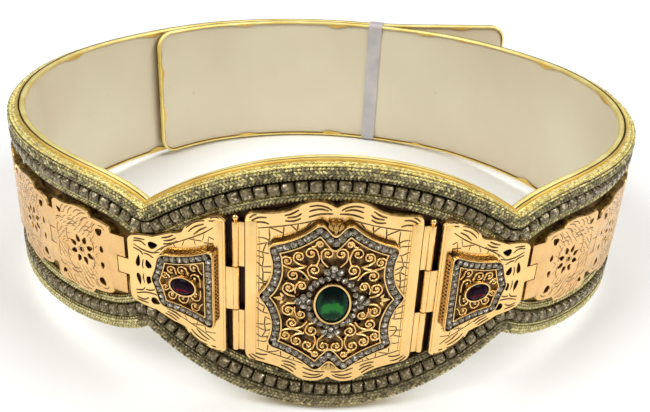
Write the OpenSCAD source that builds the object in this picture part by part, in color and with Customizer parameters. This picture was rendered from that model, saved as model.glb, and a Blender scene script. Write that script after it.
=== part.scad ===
// Stone set metal belt: a stiff covered band closed into a loop, trimmed along both edges
// with braid and a chain of square stones, with hinged gold plates across the front.
// The belt stands on its lower edge, leaning back a little because the front is taller.

/* [Band] */
// Height of the band at the centre of the front
front_height = 95; // [92:1:98]
// Height of the plain strap round the sides and the back
strap_height = 64; // [62:1:66]
// Height at the two notches beside the tall front
notch_height = 49; // [48:1:50]
// Distance along the band from the centre of the front to each notch
notch_at = 62; // [61:1:64]
// Thickness of the covered core of the band
core_t = 2; // [1.8:0.1:2.2]
// Thickness of the glossy lining inside it
lining_t = 0.9; // [0.7:0.1:1]
// Bending radius of the front
front_radius = 145; // [140:1:150]
// Bending radius of each side
side_radius = 90; // [88:1:94]
// Angle that the front turns through, to each side
front_turn = 34; // [33:1:35]
// Angle that each side turns through
side_turn = 89; // [87:1:91]
// Length of the inner end past the centre of the back
flap_length = 89.9; // [80:1:95]
// Length of the outer end past the centre of the back
tail_length = 101; // [95:1:105]
// Radius of the corners at both ends
end_corner = 8; // [6:0.5:9]
// Angle that the belt leans back as it stands
lean = 4.15; // [4:0.05:4.3]

/* [Trims] */
// Width of the piping that covers the band's edges
piping_w = 1.3; // [1.1:0.1:1.3]
// Width of the outer braid
outer_braid_w = 4.7; // [4.4:0.1:4.7]
// Height of the outer braid above the band
outer_braid_h = 3.8; // [3.2:0.1:4.2]
// Side of one square stone of the chain
chain_stone = 4; // [3.8:0.1:4]
// Height of the chain above the band
chain_h = 3.6; // [3:0.1:4]
// Distance from one stone of the chain to the next
chain_pitch = 4.8; // [4.65:0.05:5]
// Width of the inner braid
inner_braid_w = 3; // [2.6:0.1:3]
// Height of the inner braid above the band
inner_braid_h = 2.2; // [1.8:0.1:2.2]
// Distance along the band from the centre of the front to the ends of the trims
trim_end = 222; // [215:1:225]

/* [Plates] */
// Height of the plates' backs above the band
plate_lift = 2.6; // [2.6:0.1:3]
// Thickness of the plates
plate_t = 1.3; // [1.1:0.1:1.4]
// Half the width of the centre plate
plate_half_w = 28; // [28:0.1:28.2]
// Bending radius of the centre plate's face
plate_radius = 95; // [92:1:100]
// Distance along the band to the pin of each main hinge
hinge_at = 30.5; // [30.4:0.1:30.6]
// Outer radius of the main hinges' knuckles
knuckle_r = 1.35; // [1.3:0.05:1.4]
// Radius of the hinge pins
pin_r = 0.6; // [0.5:0.05:0.65]
// Distance along the band to the middle of each side plate
side_plate_at = 50.4; // [50.3:0.1:50.5]
// Distance along the band to the middle of the first link plate
link_at = 87.3; // [87:0.1:87.5]
// Distance from one link plate to the next
link_pitch = 29.6; // [29.5:0.1:29.8]

/* [Medallions] */
// Height of the centre medallion's sheet above the plate
gallery_h = 1.3; // [1.2:0.1:1.5]
// Height of the side medallions' sheets above their plates
side_gallery_h = 1.2; // [1.1:0.1:1.4]
// Thickness of the medallions' sheets
sheet_t = 0.6; // [0.5:0.1:0.7]
// Width of the stone set border of the centre medallion
border_w = 2.9; // [2.8:0.1:3]
// Width of the emerald
emerald_w = 10.6; // [10.4:0.1:10.8]
// Height of the emerald
emerald_l = 13.2; // [13:0.1:13.4]
// Width of each garnet
garnet_w = 7.8; // [7.6:0.1:8]
// Height of each garnet
garnet_l = 5.7; // [5.5:0.1:5.9]

/* [Holding strip] */
// Width of the strip that holds the two ends together
strip_w = 7; // [6:0.5:8]
// Thickness of the strip
strip_t = 0.3; // [0.3:0.05:0.4]
// Distance past the centre of the back to the strip's middle
strip_at = 31; // [30:1:32]

/* [Hidden] */

piping_gold = "gold";
lame_gold = "goldenrod";
braid_olive = [0.66, 0.63, 0.36];
stone_grey = [0.5, 0.5, 0.48];
plate_gold = [0.95, 0.8, 0.52];
link_gold = [0.92, 0.74, 0.54];
filigree_gold = [0.8, 0.62, 0.34];

clear = 0.1;                         // gap between pieces that lie on each other
seat = 0.3;                          // gap between a plate's feet and the band
rad = PI / 180;

half_t = (core_t + lining_t + clear) / 2;          // half the band's thickness
lap = half_t + 0.15;                               // shift of each layer where two lie together
back_turn = 180 - front_turn - side_turn;
back_radius = side_radius + (front_radius - side_radius) * sin(front_turn) / sin(back_turn);
front_arc = front_radius * front_turn * rad;
side_arc = side_radius * side_turn * rad;
half_loop = front_arc + side_arc + back_radius * back_turn * rad;
front_center = [0, front_radius];
side_center = front_center + (front_radius - side_radius) * [sin(front_turn), -cos(front_turn)];
back_center = side_center - (back_radius - side_radius) * [sin(back_turn), cos(back_turn)];
flap_end = half_loop + flap_length;
tail_end = half_loop + tail_length;

// The tail lies on the loop, then bends away from it and runs straight
hug_turn = 10;
tail_bend_radius = 110;
tail_bend_turn = 15;
hug_end = half_loop + back_radius * hug_turn * rad;
bend_end = hug_end + tail_bend_radius * tail_bend_turn * rad;

front_z = front_height / 2;
strap_z = strap_height / 2;
notch_z = notch_height / 2;
notch_ease = 12;                     // length over which the strap grows out of its notch

outer_braid_d = piping_w + 0.2;      // distances in from the edge to where each trim starts
chain_d = outer_braid_d + outer_braid_w + 0.2;
inner_braid_d = chain_d + chain_stone + 0.2;

hinge_gap = 0.75;                    // gap between a main hinge's knuckles and the band

// Heights over the middle of the band's thickness
plate_back = half_t + plate_lift;
plate_front = plate_back + plate_t;
knuckle_o = half_t + hinge_gap + knuckle_r;

// Where the belt stands in its own frame
rest_y = -100.44;
rest_z = 47.52;

module belt_frame() translate([0, rest_y, rest_z]) rotate([-lean, 0, 0]) children();

// Plan of the band

function smooth(t) = let(u = max(0, min(1, t))) u * u * (3 - 2 * u);
function unit2(v) = v / norm(v);
function outward(h) = [sin(h), -cos(h)];

function turned(s) =
    s < front_arc ? s / front_radius / rad
    : s < front_arc + side_arc ? front_turn + (s - front_arc) / side_radius / rad
    : front_turn + side_turn + (s - front_arc - side_arc) / back_radius / rad;

function loop_point(s, o) =
    let(h = turned(s),
        arc = s < front_arc ? [front_center, front_radius]
            : s < front_arc + side_arc ? [side_center, side_radius]
            : [back_center, back_radius])
    arc[0] + (arc[1] + o) * outward(h);

// The right half passes inside at the back, and its end stands a little off the other half.
// Each shift starts at a distance from the centre of the front and grows over a run.
inner_shift_at = 275;
inner_shift_run = 40;
outer_shift_at = 255;
outer_shift_run = 45;
stand_off = 2.5;
stand_off_at = half_loop + 52;
stand_off_run = 38;
function inner_shift(s) = -lap * smooth((s - inner_shift_at) / inner_shift_run)
    - stand_off * smooth((s - stand_off_at) / stand_off_run);
function outer_shift(s) = lap * smooth((s - outer_shift_at) / outer_shift_run);

function tail_heading(s) =
    s < hug_end ? turned(s)
    : 180 + hug_turn - min(s - hug_end, bend_end - hug_end) / tail_bend_radius / rad;

function tail_point(s, o) =
    let(start = loop_point(hug_end, lap), h0 = 180 + hug_turn,
        pivot = start + tail_bend_radius * outward(h0), h = tail_heading(s),
        run = max(0, s - bend_end))
    pivot - (tail_bend_radius - o) * outward(h) + run * [cos(h), sin(h)];

function right_point(s, o) = loop_point(s, o + inner_shift(s));
function left_point(s, o) = s < hug_end ? loop_point(s, o + outer_shift(s)) : tail_point(s, o);

// A point of the wall: q is the distance along the band, negative to the left, and o the
// height over the middle of its thickness
function wall_point(q, o) =
    q >= 0 ? right_point(q, o) : let(p = left_point(-q, o)) [-p[0], p[1]];
function wall_heading(q) = q >= 0 ? turned(q) : -tail_heading(-q);
function wall_at(q, z, o) = let(p = wall_point(q, o)) [p[0], p[1], z];

module at_wall(q, z, o) translate(wall_at(q, z, o)) rotate([0, 0, wall_heading(q)]) children();

// Upper edge of the band, as height over its middle line

function eye_edge(s) = notch_z + (front_z - notch_z) * (1 - pow(s / notch_at, 2));
function strap_edge(s) = strap_z - (strap_z - notch_z) * exp(-(s - notch_at) / notch_ease);
function eye_slope(s) = -2 * (front_z - notch_z) * s / pow(notch_at, 2);
function strap_slope(s) = (strap_z - notch_z) / notch_ease * exp(-(s - notch_at) / notch_ease);
function corner_drop(left) =
    left >= end_corner ? 0 : end_corner - sqrt(pow(end_corner, 2) - pow(end_corner - left, 2));
function edge(s, end) = (s <= notch_at ? eye_edge(s) : strap_edge(s)) - corner_drop(end - s);

eye_steps = 12;
near_step = 4;                       // step between sections just past the notch
far_step = 8;                        // step between sections round the rest of the loop
near_end = notch_at + 6 * near_step;

function half_steps(end) = concat(
    [for (i = [1 : eye_steps]) notch_at * i / eye_steps],
    [for (i = [1 : 6]) notch_at + i * near_step],
    let(far = end - end_corner - near_end, n = ceil(far / far_step))
        [for (i = [1 : n]) near_end + far * i / n],
    [for (a = [22.5 : 22.5 : 90]) end - end_corner * (1 - sin(a))]);

function backwards(list) = [for (i = [len(list) - 1 : -1 : 0]) list[i]];

left_steps = half_steps(tail_end);
right_steps = half_steps(flap_end);
band_edge = concat(
    [for (s = backwards(left_steps)) [-s, edge(s, tail_end)]],
    [[0, front_z]],
    [for (s = right_steps) [s, edge(s, flap_end)]]);
half_join = 0.05;                    // the two pipings meet at the ends, this far from the middle
piping_edge = concat([[-tail_end, half_join]], band_edge, [[flap_end, half_join]]);

// The point at distance d inside an edge, with the corners mitred
function inset(path, i, d) =
    let(n = len(path) - 1, here = path[i],
        a = unit2(i > 0 ? here - path[i - 1] : path[1] - here),
        b = unit2(i < n ? path[i + 1] - here : here - path[n - 1]),
        na = [a[1], -a[0]], nb = [b[1], -b[0]])
    here + d * (na + nb) / (1 + na * nb);

// A closed solid through rings that have the same number of points
module loft(rings) {
    n = len(rings[0]);
    last = len(rings) - 1;
    polyhedron(
        points = [for (ring = rings) for (p = ring) p],
        faces = concat(
            [for (i = [0 : last - 1]) for (j = [0 : n - 1])
                [i * n + j, i * n + (j + 1) % n, (i + 1) * n + (j + 1) % n, (i + 1) * n + j]],
            [[for (j = [n - 1 : -1 : 0]) j]],
            [[for (j = [0 : n - 1]) last * n + j]]),
        convexity = 6);
}

// A layer of the band from height o0 to o1, with its edges d inside the band's
module layer(d, o0, o1) loft([for (i = [0 : len(band_edge) - 1])
    let(p = inset(band_edge, i, d), q = p[0], z = p[1])
        [wall_at(q, -z, o0), wall_at(q, z, o0), wall_at(q, z, o1), wall_at(q, -z, o1)]]);

module band() color(lame_gold) belt_frame() layer(piping_w + clear, half_t - core_t, half_t);

module lining() color("beige") belt_frame()
    layer(piping_w + clear, -half_t, -half_t + lining_t);

// Section of the piping: distance in from the edge, height over the middle of the band
piping_section = [
    [piping_w, -half_t],
    [0.35 * piping_w, -half_t],
    [0, 0],
    [0.35 * piping_w, half_t],
    [piping_w, half_t]];

module piping(side) color(piping_gold) belt_frame() loft([for (i = [0 : len(piping_edge) - 1])
    [for (c = side > 0 ? piping_section : backwards(piping_section))
        let(p = inset(piping_edge, i, c[0])) wall_at(p[0], side * max(p[1], half_join), c[1])]]);

module top_piping() piping(1);
module bottom_piping() piping(-1);

// Trims: the guide runs along the band's upper edge and turns round each notch in a fan.
// Each row is a place on the edge and the direction into the band: q, z, nq, nz.

fan_steps = 5;
function guide_row(s, z, slope_angle) = [s, z, sin(slope_angle), -cos(slope_angle)];
eye_end_angle = atan(eye_slope(notch_at));
strap_start_angle = atan(strap_slope(notch_at));

half_guide = concat(
    [for (i = [1 : eye_steps]) let(s = notch_at * i / eye_steps)
        guide_row(s, eye_edge(s), atan(eye_slope(s)))],
    [for (i = [1 : fan_steps])
        guide_row(notch_at, notch_z,
                  eye_end_angle + (strap_start_angle - eye_end_angle) * i / fan_steps)],
    [for (i = [1 : 6]) let(s = notch_at + i * near_step)
        guide_row(s, strap_edge(s), atan(strap_slope(s)))],
    let(n = ceil((trim_end - near_end) / far_step))
        [for (i = [1 : n]) let(s = near_end + (trim_end - near_end) * i / n)
            guide_row(s, strap_edge(s), atan(strap_slope(s)))]);

guide = concat(
    [for (r = backwards(half_guide)) [-r[0], r[1], -r[2], r[3]]],
    [[0, front_z, 0, -1]],
    half_guide);

function guide_point(i, d) = [guide[i][0] + d * guide[i][2], guide[i][1] + d * guide[i][3]];

// A braid's section, w wide and h high, starting at distance d from the edge
function braid_section(d, w, h) = [
    [d, clear], [d, 0.55 * h], [d + 0.28 * w, h],
    [d + 0.72 * w, h], [d + w, 0.55 * h], [d + w, clear]];

module braid(side, section) color(braid_olive) belt_frame() loft([for (i = [0 : len(guide) - 1])
    [for (c = side > 0 ? backwards(section) : section)
        let(p = guide_point(i, c[0])) wall_at(p[0], side * p[1], half_t + c[1])]]);

outer_section = braid_section(outer_braid_d, outer_braid_w, outer_braid_h);
inner_section = braid_section(inner_braid_d, inner_braid_w, inner_braid_h);

module upper_outer_braid() braid(1, outer_section);
module upper_inner_braid() braid(1, inner_section);
module lower_inner_braid() braid(-1, inner_section);
module lower_outer_braid() braid(-1, outer_section);

// Chain of square stones: they are spaced evenly by length along the chain's middle line

chain_line = [for (i = [0 : len(guide) - 1]) guide_point(i, chain_d + chain_stone / 2)];
chain_run = [for (i = 0, t = 0; i < len(chain_line);
                  t = t + (i + 1 < len(chain_line) ? norm(chain_line[i + 1] - chain_line[i]) : 0),
                  i = i + 1) t];
run_to_q = [for (i = [0 : len(chain_line) - 1]) [chain_run[i], chain_line[i][0]]];
run_to_z = [for (i = [0 : len(chain_line) - 1]) [chain_run[i], chain_line[i][1]]];
chain_length = chain_run[len(chain_run) - 1];
chain_count = floor(chain_length / chain_pitch);

stone_cut = 0.24 * chain_stone;      // corner cut of a square stone
module cut_square(a, c) polygon([
    [a, c - a], [a, a - c], [a - c, a], [c - a, a],
    [-a, a - c], [-a, c - a], [c - a, -a], [a - c, -a]]);

module stone_chain(side) color(stone_grey) belt_frame()
    for (i = [0 : chain_count - 1]) {
        t = (i + 0.5) * chain_length / chain_count;
        q = lookup(t, run_to_q);
        z = lookup(t, run_to_z);
        slope = atan2(lookup(t + 1.5, run_to_z) - lookup(t - 1.5, run_to_z),
                      lookup(t + 1.5, run_to_q) - lookup(t - 1.5, run_to_q));
        at_wall(q, side * z, half_t + clear) rotate([0, -side * slope, 0]) rotate([90, 0, 0])
            linear_extrude(chain_h, scale = 0.62) cut_square(chain_stone / 2, stone_cut);
    }

module upper_stone_chain() stone_chain(1);
module lower_stone_chain() stone_chain(-1);

// The holding strip wraps both layers of the band

strip_clear = 0.25;
strip_slack = 1.5;                   // the strip stands a little off the outer layer
strip_in = lap + half_t + strip_clear;
strip_out = lap + half_t + strip_slack;
strip_z = strap_z + strip_clear;

module holding_strip() color([0.8, 0.8, 0.9]) belt_frame()
    at_wall(half_loop - strip_at, 0, lap) rotate([90, 0, 90])
        linear_extrude(strip_w, center = true) difference() {
            translate([-strip_out - strip_t, -strip_z - strip_t])
                square([strip_in + strip_out + 2 * strip_t, 2 * (strip_z + strip_t)]);
            translate([-strip_out, -strip_z]) square([strip_in + strip_out, 2 * strip_z]);
        }

// Outlines: a table holds the corners and the bow of each stretch to the next one, in mm,
// counted outward. The stretches are drawn as shallow curves.

curve_steps = 6;
function stretch(a, b, steps) =
    let(run = [b[0] - a[0], b[1] - a[1]], out = unit2([run[1], -run[0]]),
        n = a[2] == 0 ? 1 : steps)
    [for (i = [0 : n - 1]) let(t = i / n) [a[0], a[1]] + t * run + 4 * a[2] * t * (1 - t) * out];
function trace(rows, steps = curve_steps) = concat(
    [for (i = [0 : len(rows) - 2]) each stretch(rows[i], rows[i + 1], steps)],
    let(end = rows[len(rows) - 1]) [[end[0], end[1]]]);

// Completes half an outline, from the right end over the top to the left end
function both_halves(top) = concat(top,
    [for (i = [len(top) - 1 : -1 : 0]) if (top[i][1] > 0.01) [top[i][0], -top[i][1]]]);
// Completes a quarter of an outline, from the right end to the top
function both_quarters(q) = concat(q,
    [for (i = [len(q) - 1 : -1 : 0]) if (q[i][0] > 0.01) [-q[i][0], q[i][1]]]);

// The whole outline moved in by d
function shrink(path, d) =
    let(n = len(path))
    [for (i = [0 : n - 1])
        let(here = path[i], a = unit2(here - path[(i + n - 1) % n]),
            b = unit2(path[(i + 1) % n] - here), na = [-a[1], a[0]], nb = [-b[1], b[0]])
        here + d * (na + nb) / (1 + na * nb)];

// The outline with each outward corner cut off at distance d from it
function blunt(path, d) =
    let(n = len(path))
    [for (i = [0 : n - 1])
        let(here = path[i], a = unit2(here - path[(i + n - 1) % n]),
            b = unit2(path[(i + 1) % n] - here))
        each (a[0] * b[1] - a[1] * b[0] > 0.35 ? [here - d * a, here + d * b] : [here])];

// A ring between two distances inside an outline, with the cut of its corners at both
module ring_of(path, d0, d1, cut0, cut1) difference() {
    polygon(blunt(shrink(path, d0), cut0));
    polygon(blunt(shrink(path, d1), cut1));
}

// A flat figure raised outward from height o0 to o1
module raise(o0, o1) rotate([90, 0, 0]) translate([0, 0, o0]) linear_extrude(o1 - o0) children();

// A flat figure raised through every height that a plate reaches
module through() raise(-8, 12) children();

// A bent wall about an upright axis at distance r behind the figure
module bend(r, o0, o1) translate([0, r, 0]) difference() {
    cylinder(h = front_height, r = r + o1, center = true, $fn = 180);
    cylinder(h = front_height + 1, r = r + o0, center = true, $fn = 180);
}

// Knuckles of a hinge about an upright pin; each span is its lower and upper end
module knuckles(spans, r) for (span = spans)
    translate([0, 0, span[0]]) cylinder(h = span[1] - span[0], r = r, $fn = 40);

pin_bore = pin_r + 0.15;
knuckle_half = 24.6;                 // half the length of a main hinge
knuckle_gap = 0.3;
knuckle_h = (2 * knuckle_half - 2 * knuckle_gap) / 3;
middle_span = [[-knuckle_h / 2, knuckle_h / 2]];
outer_spans = [
    [-knuckle_half, -knuckle_h / 2 - knuckle_gap],
    [knuckle_h / 2 + knuckle_gap, knuckle_half]];

// Flat tabs that join knuckles to a plate: they reach from x0 to x1 along the band, and
// from height o0 to o1
module tabs(spans, x0, x1, o0, o1) for (span = spans)
    translate([x0, -o1, span[0]]) cube([x1 - x0, o1 - o0, span[1] - span[0]]);

module bore(r, h) cylinder(h = h, r = r, center = true, $fn = 32);

module feet(places, r) for (p = places)
    translate([p[0], 0, p[1]]) rotate([90, 0, 0]) cylinder(h = plate_front, r = r, $fn = 32);

// Centre plate

// x, z, bow
center_rows = [
    [plate_half_w, 0, 0],
    [plate_half_w, 25.6, 0.8],
    [25.4, 28.3, -0.15],
    [17.8, 29.4, -0.5],
    [10.4, 33.2, 1.6],
    [0, 32.5, 0]];
center_outline = both_halves(both_quarters(trace(center_rows)));
bar_w = 3.6;                         // width of the plain bar beside each hinge
bar_rise = 0.4;
center_bar_h = 51;
tab_in = 0.6;                        // a tab starts this far from its pin's axis
center_tab = [-3, -tab_in, -0.5, 0.5];
center_foot_r = 2;
center_feet = [[16, 20], [-16, 20], [16, -20], [-16, -20]];

module center_bend(o0, o1) translate([0, -plate_front, 0]) bend(plate_radius, o0, o1);

module center_plate() color(plate_gold) belt_frame() difference() {
    union() {
        intersection() {
            through() polygon(center_outline);
            center_bend(-plate_t, 0);
        }
        for (side = [-1, 1]) {
            intersection() {
                through() translate([side * (plate_half_w - bar_w / 2), 0])
                    square([bar_w, center_bar_h], center = true);
                center_bend(-plate_t / 2, bar_rise);
            }
            mirror([side < 0 ? 1 : 0, 0, 0]) at_wall(hinge_at, 0, knuckle_o) {
                knuckles(outer_spans, knuckle_r);
                tabs(outer_spans, center_tab[0], center_tab[1], center_tab[2], center_tab[3]);
            }
        }
        intersection() {
            feet(center_feet, center_foot_r);
            bend(front_radius, half_t + seat, plate_front);
            center_bend(-9, -plate_t / 2);
        }
    }
    for (side = [-1, 1]) mirror([side < 0 ? 1 : 0, 0, 0])
        at_wall(hinge_at, 0, knuckle_o) bore(pin_bore, front_height);
}

// Centre medallion: a pierced sheet on a gallery wall, with rims, scrolls and a bezel

// x, z, bow
medallion_rows = [
    [23.9, 0, -3.1],
    [20.6, 18.7, -1.5],
    [4.2, 28.6, 0],
    [0, 24, 0]];
medallion_steps = 4;                 // curve steps long enough for the border to be moved in
medallion_outline = both_halves(both_quarters(trace(medallion_rows, medallion_steps)));
rim_w = 0.55;
outer_cut = 1.4;                     // cut of the corners at the medallions' edge
inner_cut = 0.5;                     // and at the inner side of the border
gallery_in = 0.5;                    // the gallery wall's faces, inside the medallion's edge
gallery_out = 1.4;
sheet_in = 0.05;                     // the sheet's edge, inside the medallion's edge
sheet_top = plate_front + gallery_h + sheet_t;
sheet_rise = gallery_h + sheet_t;    // heights over the plate's face
sheet_mid = gallery_h + sheet_t / 2;
rim_rise = sheet_rise + 0.9;
scroll_rise = sheet_rise + 0.7;
bezel_w = 0.75;
bezel_top = sheet_top + 2.4;

// Scrolls in one quarter of the filigree: x, z, outer radius
scrolls = [
    [2.15, 17.6, 1.9], [7.1, 17.4, 2], [10.6, 15.6, 1.8], [14.4, 13.9, 1.7],
    [6.1, 11.6, 2.0], [12.3, 9.2, 1.9], [9.9, 5.4, 1.7], [13.6, 4.3, 1.9], [4.7, 20.9, 1]];
scroll_wire = 0.6;
granule_r = 0.62;

// Gaps between the scrolls in one quarter: x, z, radius
gaps = [[4.6, 14.6, 0.75], [9.6, 12.5, 0.8], [14.3, 11.3, 0.45], [14.9, 7.1, 0.5],
        [9.2, 8.4, 0.7], [11.2, 1.6, 0.7]];

// A scroll of wire round a dot
module scroll(r) {
    difference() {
        circle(r, $fn = 32);
        circle(r - scroll_wire, $fn = 32);
    }
    if (r - scroll_wire > granule_r) circle(granule_r, $fn = 24);
}

module four_ways() for (sx = [-1, 1], sz = [-1, 1])
    mirror([sx < 0 ? 1 : 0, 0, 0]) mirror([0, sz < 0 ? 1 : 0, 0]) children();

function oval(w, l, n) = [for (i = [0 : n - 1]) [w / 2 * cos(360 * i / n), l / 2 * sin(360 * i / n)]];

module bezel(w, l, top, foot) raise(foot, top) difference() {
    polygon(oval(w + 2 * bezel_w + 2 * clear, l + 2 * bezel_w + 2 * clear, 32));
    polygon(oval(w + 2 * clear, l + 2 * clear, 32));
}

// A flat figure raised between two heights over the centre plate's face, and bent like it
module on_plate(h0, h1) intersection() {
    through() children();
    center_bend(h0, h1);
}

// Height over the band of what lies at h over the centre plate's face, at x
function plate_o(x, h) = plate_front - plate_radius + sqrt(pow(plate_radius + h, 2) - x * x);

module center_medallion() color(filigree_gold) belt_frame() {
    on_plate(clear, sheet_mid)
        ring_of(medallion_outline, gallery_in, gallery_out, outer_cut, outer_cut);
    on_plate(gallery_h, sheet_rise) difference() {
        polygon(blunt(shrink(medallion_outline, sheet_in), outer_cut));
        four_ways() for (g = gaps) translate([g[0], g[1]]) circle(g[2], $fn = 24);
    }
    on_plate(sheet_mid, rim_rise) ring_of(medallion_outline, 0, rim_w, outer_cut, outer_cut);
    on_plate(sheet_mid, rim_rise)
        ring_of(medallion_outline, border_w, border_w + rim_w, inner_cut, inner_cut);
    difference() {
        bezel(emerald_w, emerald_l, bezel_top, 0);
        center_bend(-plate_radius, sheet_mid);
    }
    on_plate(sheet_mid, scroll_rise) four_ways() for (c = scrolls)
        translate([c[0], c[1]]) scroll(c[2]);
}

module center_pave() color(stone_grey) belt_frame() on_plate(sheet_rise + clear, sheet_rise + 0.8)
    ring_of(medallion_outline, rim_w + clear, border_w - clear, outer_cut, inner_cut);

// A faceted stone: rings of the oval w by l, each with its scale and its height
module cut_oval(w, l, n, stages) rotate([90, 0, 0])
    loft([for (stage = stages) [for (p = backwards(oval(w * stage[0], l * stage[0], n)))
        [p[0], p[1], stage[1]]]]);

module emerald() color("green") belt_frame() cut_oval(emerald_w, emerald_l, 16, [
    [0.9, sheet_top + clear], [1, sheet_top + 1.6], [0.9, bezel_top + 0.3], [0.6, bezel_top + 0.9]]);

// Small round stones round the emerald: x, z
end_cluster = [[0, 12.4], [2.1, 11], [-2.1, 11], [0, 9.2]];
side_cluster = [[7.3, 0], [9.2, 1.5], [9.2, -1.5], [11, 0]];
corner_pair = [[3.7, 8.1], [5.9, 6.4]];
flower_r = 0.85;
flower_h = 1.5;

module flower_stone(x, z) rotate([90, 0, 0])
    translate([x, z, plate_o(max(0, abs(x) - flower_r), sheet_rise) + clear])
    cylinder(h = flower_h, r1 = flower_r, r2 = 0.5 * flower_r, $fn = 8);

module flower_stones() color("lightgray") belt_frame() {
    for (side = [-1, 1]) {
        for (p = end_cluster) flower_stone(p[0], side * p[1]);
        for (p = side_cluster) flower_stone(side * p[0], p[1]);
    }
    for (sx = [-1, 1], sz = [-1, 1], p = corner_pair) flower_stone(sx * p[0], sz * p[1]);
}

// Side plates

// distance along the band, z, bow
side_rows = [
    [67.2, 0, 0],
    [67.2, 10.6, 0.5],
    [64.8, 13, 0.25],
    [57.7, 14.2, 0],
    [51.2, 17.2, -0.2],
    [47.4, 18.2, 0],
    [46.4, 20, 0.45],
    [36.4, 24.8, 0.5],
    [33.5, 23.2, 0]];

// A row's distance along the band becomes a width on a plate at height o over the band
function from_side(rows, o, steps = curve_steps) = [for (p = trace(rows, steps))
    [(p[0] - side_plate_at) * (front_radius + o) / front_radius, p[1]]];

side_outline = both_halves(from_side(side_rows, plate_front));
side_bar = [33.5 - side_plate_at, 46];           // where its bar starts, and the bar's height
side_bar_w = 2.8;
side_foot_r = 1.8;
side_feet = [[-9, 13], [-9, -13], [6.5, 6], [6.5, -6]];
side_tab = [tab_in, 3.8, 0.3, 1.3];

// A drop shaped hole, l long and w wide, turned by a
module drop(x, z, l, w, a) translate([x, z]) rotate(a) polygon([for (i = [0 : 11])
    [l / 2 * cos(30 * i), w / 2 * sin(30 * i) * (1 - 0.5 * cos(30 * i))]]);

module side_holes() for (sz = [-1, 1]) {
    drop(58 - side_plate_at, sz * 11, 3.6, 2.4, sz * 165);
    drop(64 - side_plate_at, sz * 3.6, 4.6, 1.5, sz * 100);
    drop(60.2 - side_plate_at, sz * 3.2, 3.2, 2.1, sz * 70);
}

outer_hinge_at = (side_plate_at + link_at) / 2 + 1.1;
tab_half = 4;                        // half the height of a link hinge's middle tab
link_knuckle_half = 11;
link_knuckle_r = 1.1;
link_pin_r = 0.45;
link_bore = link_pin_r + 0.12;
tab_reach = 1.5;                     // how far a tab reaches past its pin
tab_back = 0.2;                      // a tab's back, over its pin's axis
link_knuckle_o = plate_front - link_knuckle_r;
tab_span = [[-tab_half, tab_half]];
ear_spans = [[-link_knuckle_half, -tab_half - knuckle_gap], [tab_half + knuckle_gap, link_knuckle_half]];

module side_plate() difference() {
    union() {
        at_wall(side_plate_at, 0, 0) {
            intersection() {
                through() difference() {
                    polygon(side_outline);
                    side_holes();
                }
                bend(front_radius, plate_back, plate_front);
            }
            intersection() {
                through() translate([side_bar[0], -side_bar[1] / 2]) square([side_bar_w, side_bar[1]]);
                bend(front_radius, plate_back + plate_t / 2, plate_front + bar_rise);
            }
            intersection() {
                feet(side_feet, side_foot_r);
                bend(front_radius, half_t + seat, plate_back + plate_t / 2);
            }
        }
        at_wall(hinge_at, 0, knuckle_o) {
            knuckles(middle_span, knuckle_r);
            tabs(middle_span, side_tab[0], side_tab[1], side_tab[2], side_tab[3]);
        }
        at_wall(outer_hinge_at, 0, link_knuckle_o) {
            knuckles(tab_span, link_knuckle_r);
            tabs(tab_span, -3.4, tab_reach, tab_back, link_knuckle_r);
        }
    }
    at_wall(hinge_at, 0, knuckle_o) bore(pin_bore, front_height);
    at_wall(outer_hinge_at, 0, link_knuckle_o) bore(link_bore, strap_height);
}

module right_side_plate() color(plate_gold) belt_frame() side_plate();
module left_side_plate() color(plate_gold) belt_frame() mirror([1, 0, 0]) side_plate();

// Side medallions: distance along the band, z, bow
side_medallion_rows = [
    [57.5, 0, -0.4],
    [54.6, 9.8, -0.7],
    [36.9, 14.9, 0]];
side_medallion_steps = 3;            // curve steps long enough for the border to be moved in
side_border_w = 2.5;
side_sheet_o = plate_front + side_gallery_h;
side_sheet_top = side_sheet_o + sheet_t;
side_medallion_outline = both_halves(
    from_side(side_medallion_rows, side_sheet_top, side_medallion_steps));
garnet_at = 46.4;                    // distance along the band to the garnet's middle
side_stone_x = (garnet_at - side_plate_at) * (front_radius + side_sheet_top) / front_radius;
side_rim_top = side_sheet_top + 1;
side_bezel_top = side_sheet_top + 1.7;

// Scrolls and gaps in the upper half, counted from the stone: x, z, radius
side_scrolls = [[-3.9, 3.6, 1.5], [0.85, 5, 1.6], [4.5, 4.4, 1.2], [-3.8, 6.8, 1.3]];
side_gaps = [[-5.7, 1.2, 0.45], [6.3, 1.6, 0.5]];

module side_medallion() at_wall(side_plate_at, 0, 0) {
    difference() {
        raise(0, side_sheet_o + sheet_t / 2)
            ring_of(side_medallion_outline, gallery_in, gallery_out, outer_cut, outer_cut);
        bend(front_radius, -front_radius / 2, plate_front + clear);
    }
    raise(side_sheet_o, side_sheet_top) difference() {
        polygon(blunt(shrink(side_medallion_outline, sheet_in), outer_cut));
        translate([side_stone_x, 0]) for (sz = [-1, 1], g = side_gaps)
            translate([g[0], sz * g[1]]) circle(g[2], $fn = 24);
    }
    for (d = [0, side_border_w]) raise(side_sheet_o + sheet_t / 2, side_rim_top)
        ring_of(side_medallion_outline, d, d + rim_w,
            d > 0 ? inner_cut : outer_cut, d > 0 ? inner_cut : outer_cut);
    translate([side_stone_x, 0, 0])
        bezel(garnet_w, garnet_l, side_bezel_top, side_sheet_o + sheet_t / 2);
    raise(side_sheet_o + sheet_t / 2, side_sheet_top + 0.6)
        translate([side_stone_x, 0]) for (sz = [-1, 1], c = side_scrolls)
            translate([c[0], sz * c[1]]) difference() {
                circle(c[2], $fn = 32);
                circle(c[2] - scroll_wire, $fn = 32);
            }
}

module side_pave() at_wall(side_plate_at, 0, 0) raise(side_sheet_top + clear, side_sheet_top + 0.9)
    ring_of(side_medallion_outline, rim_w + clear, side_border_w - clear, outer_cut, inner_cut);

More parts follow.
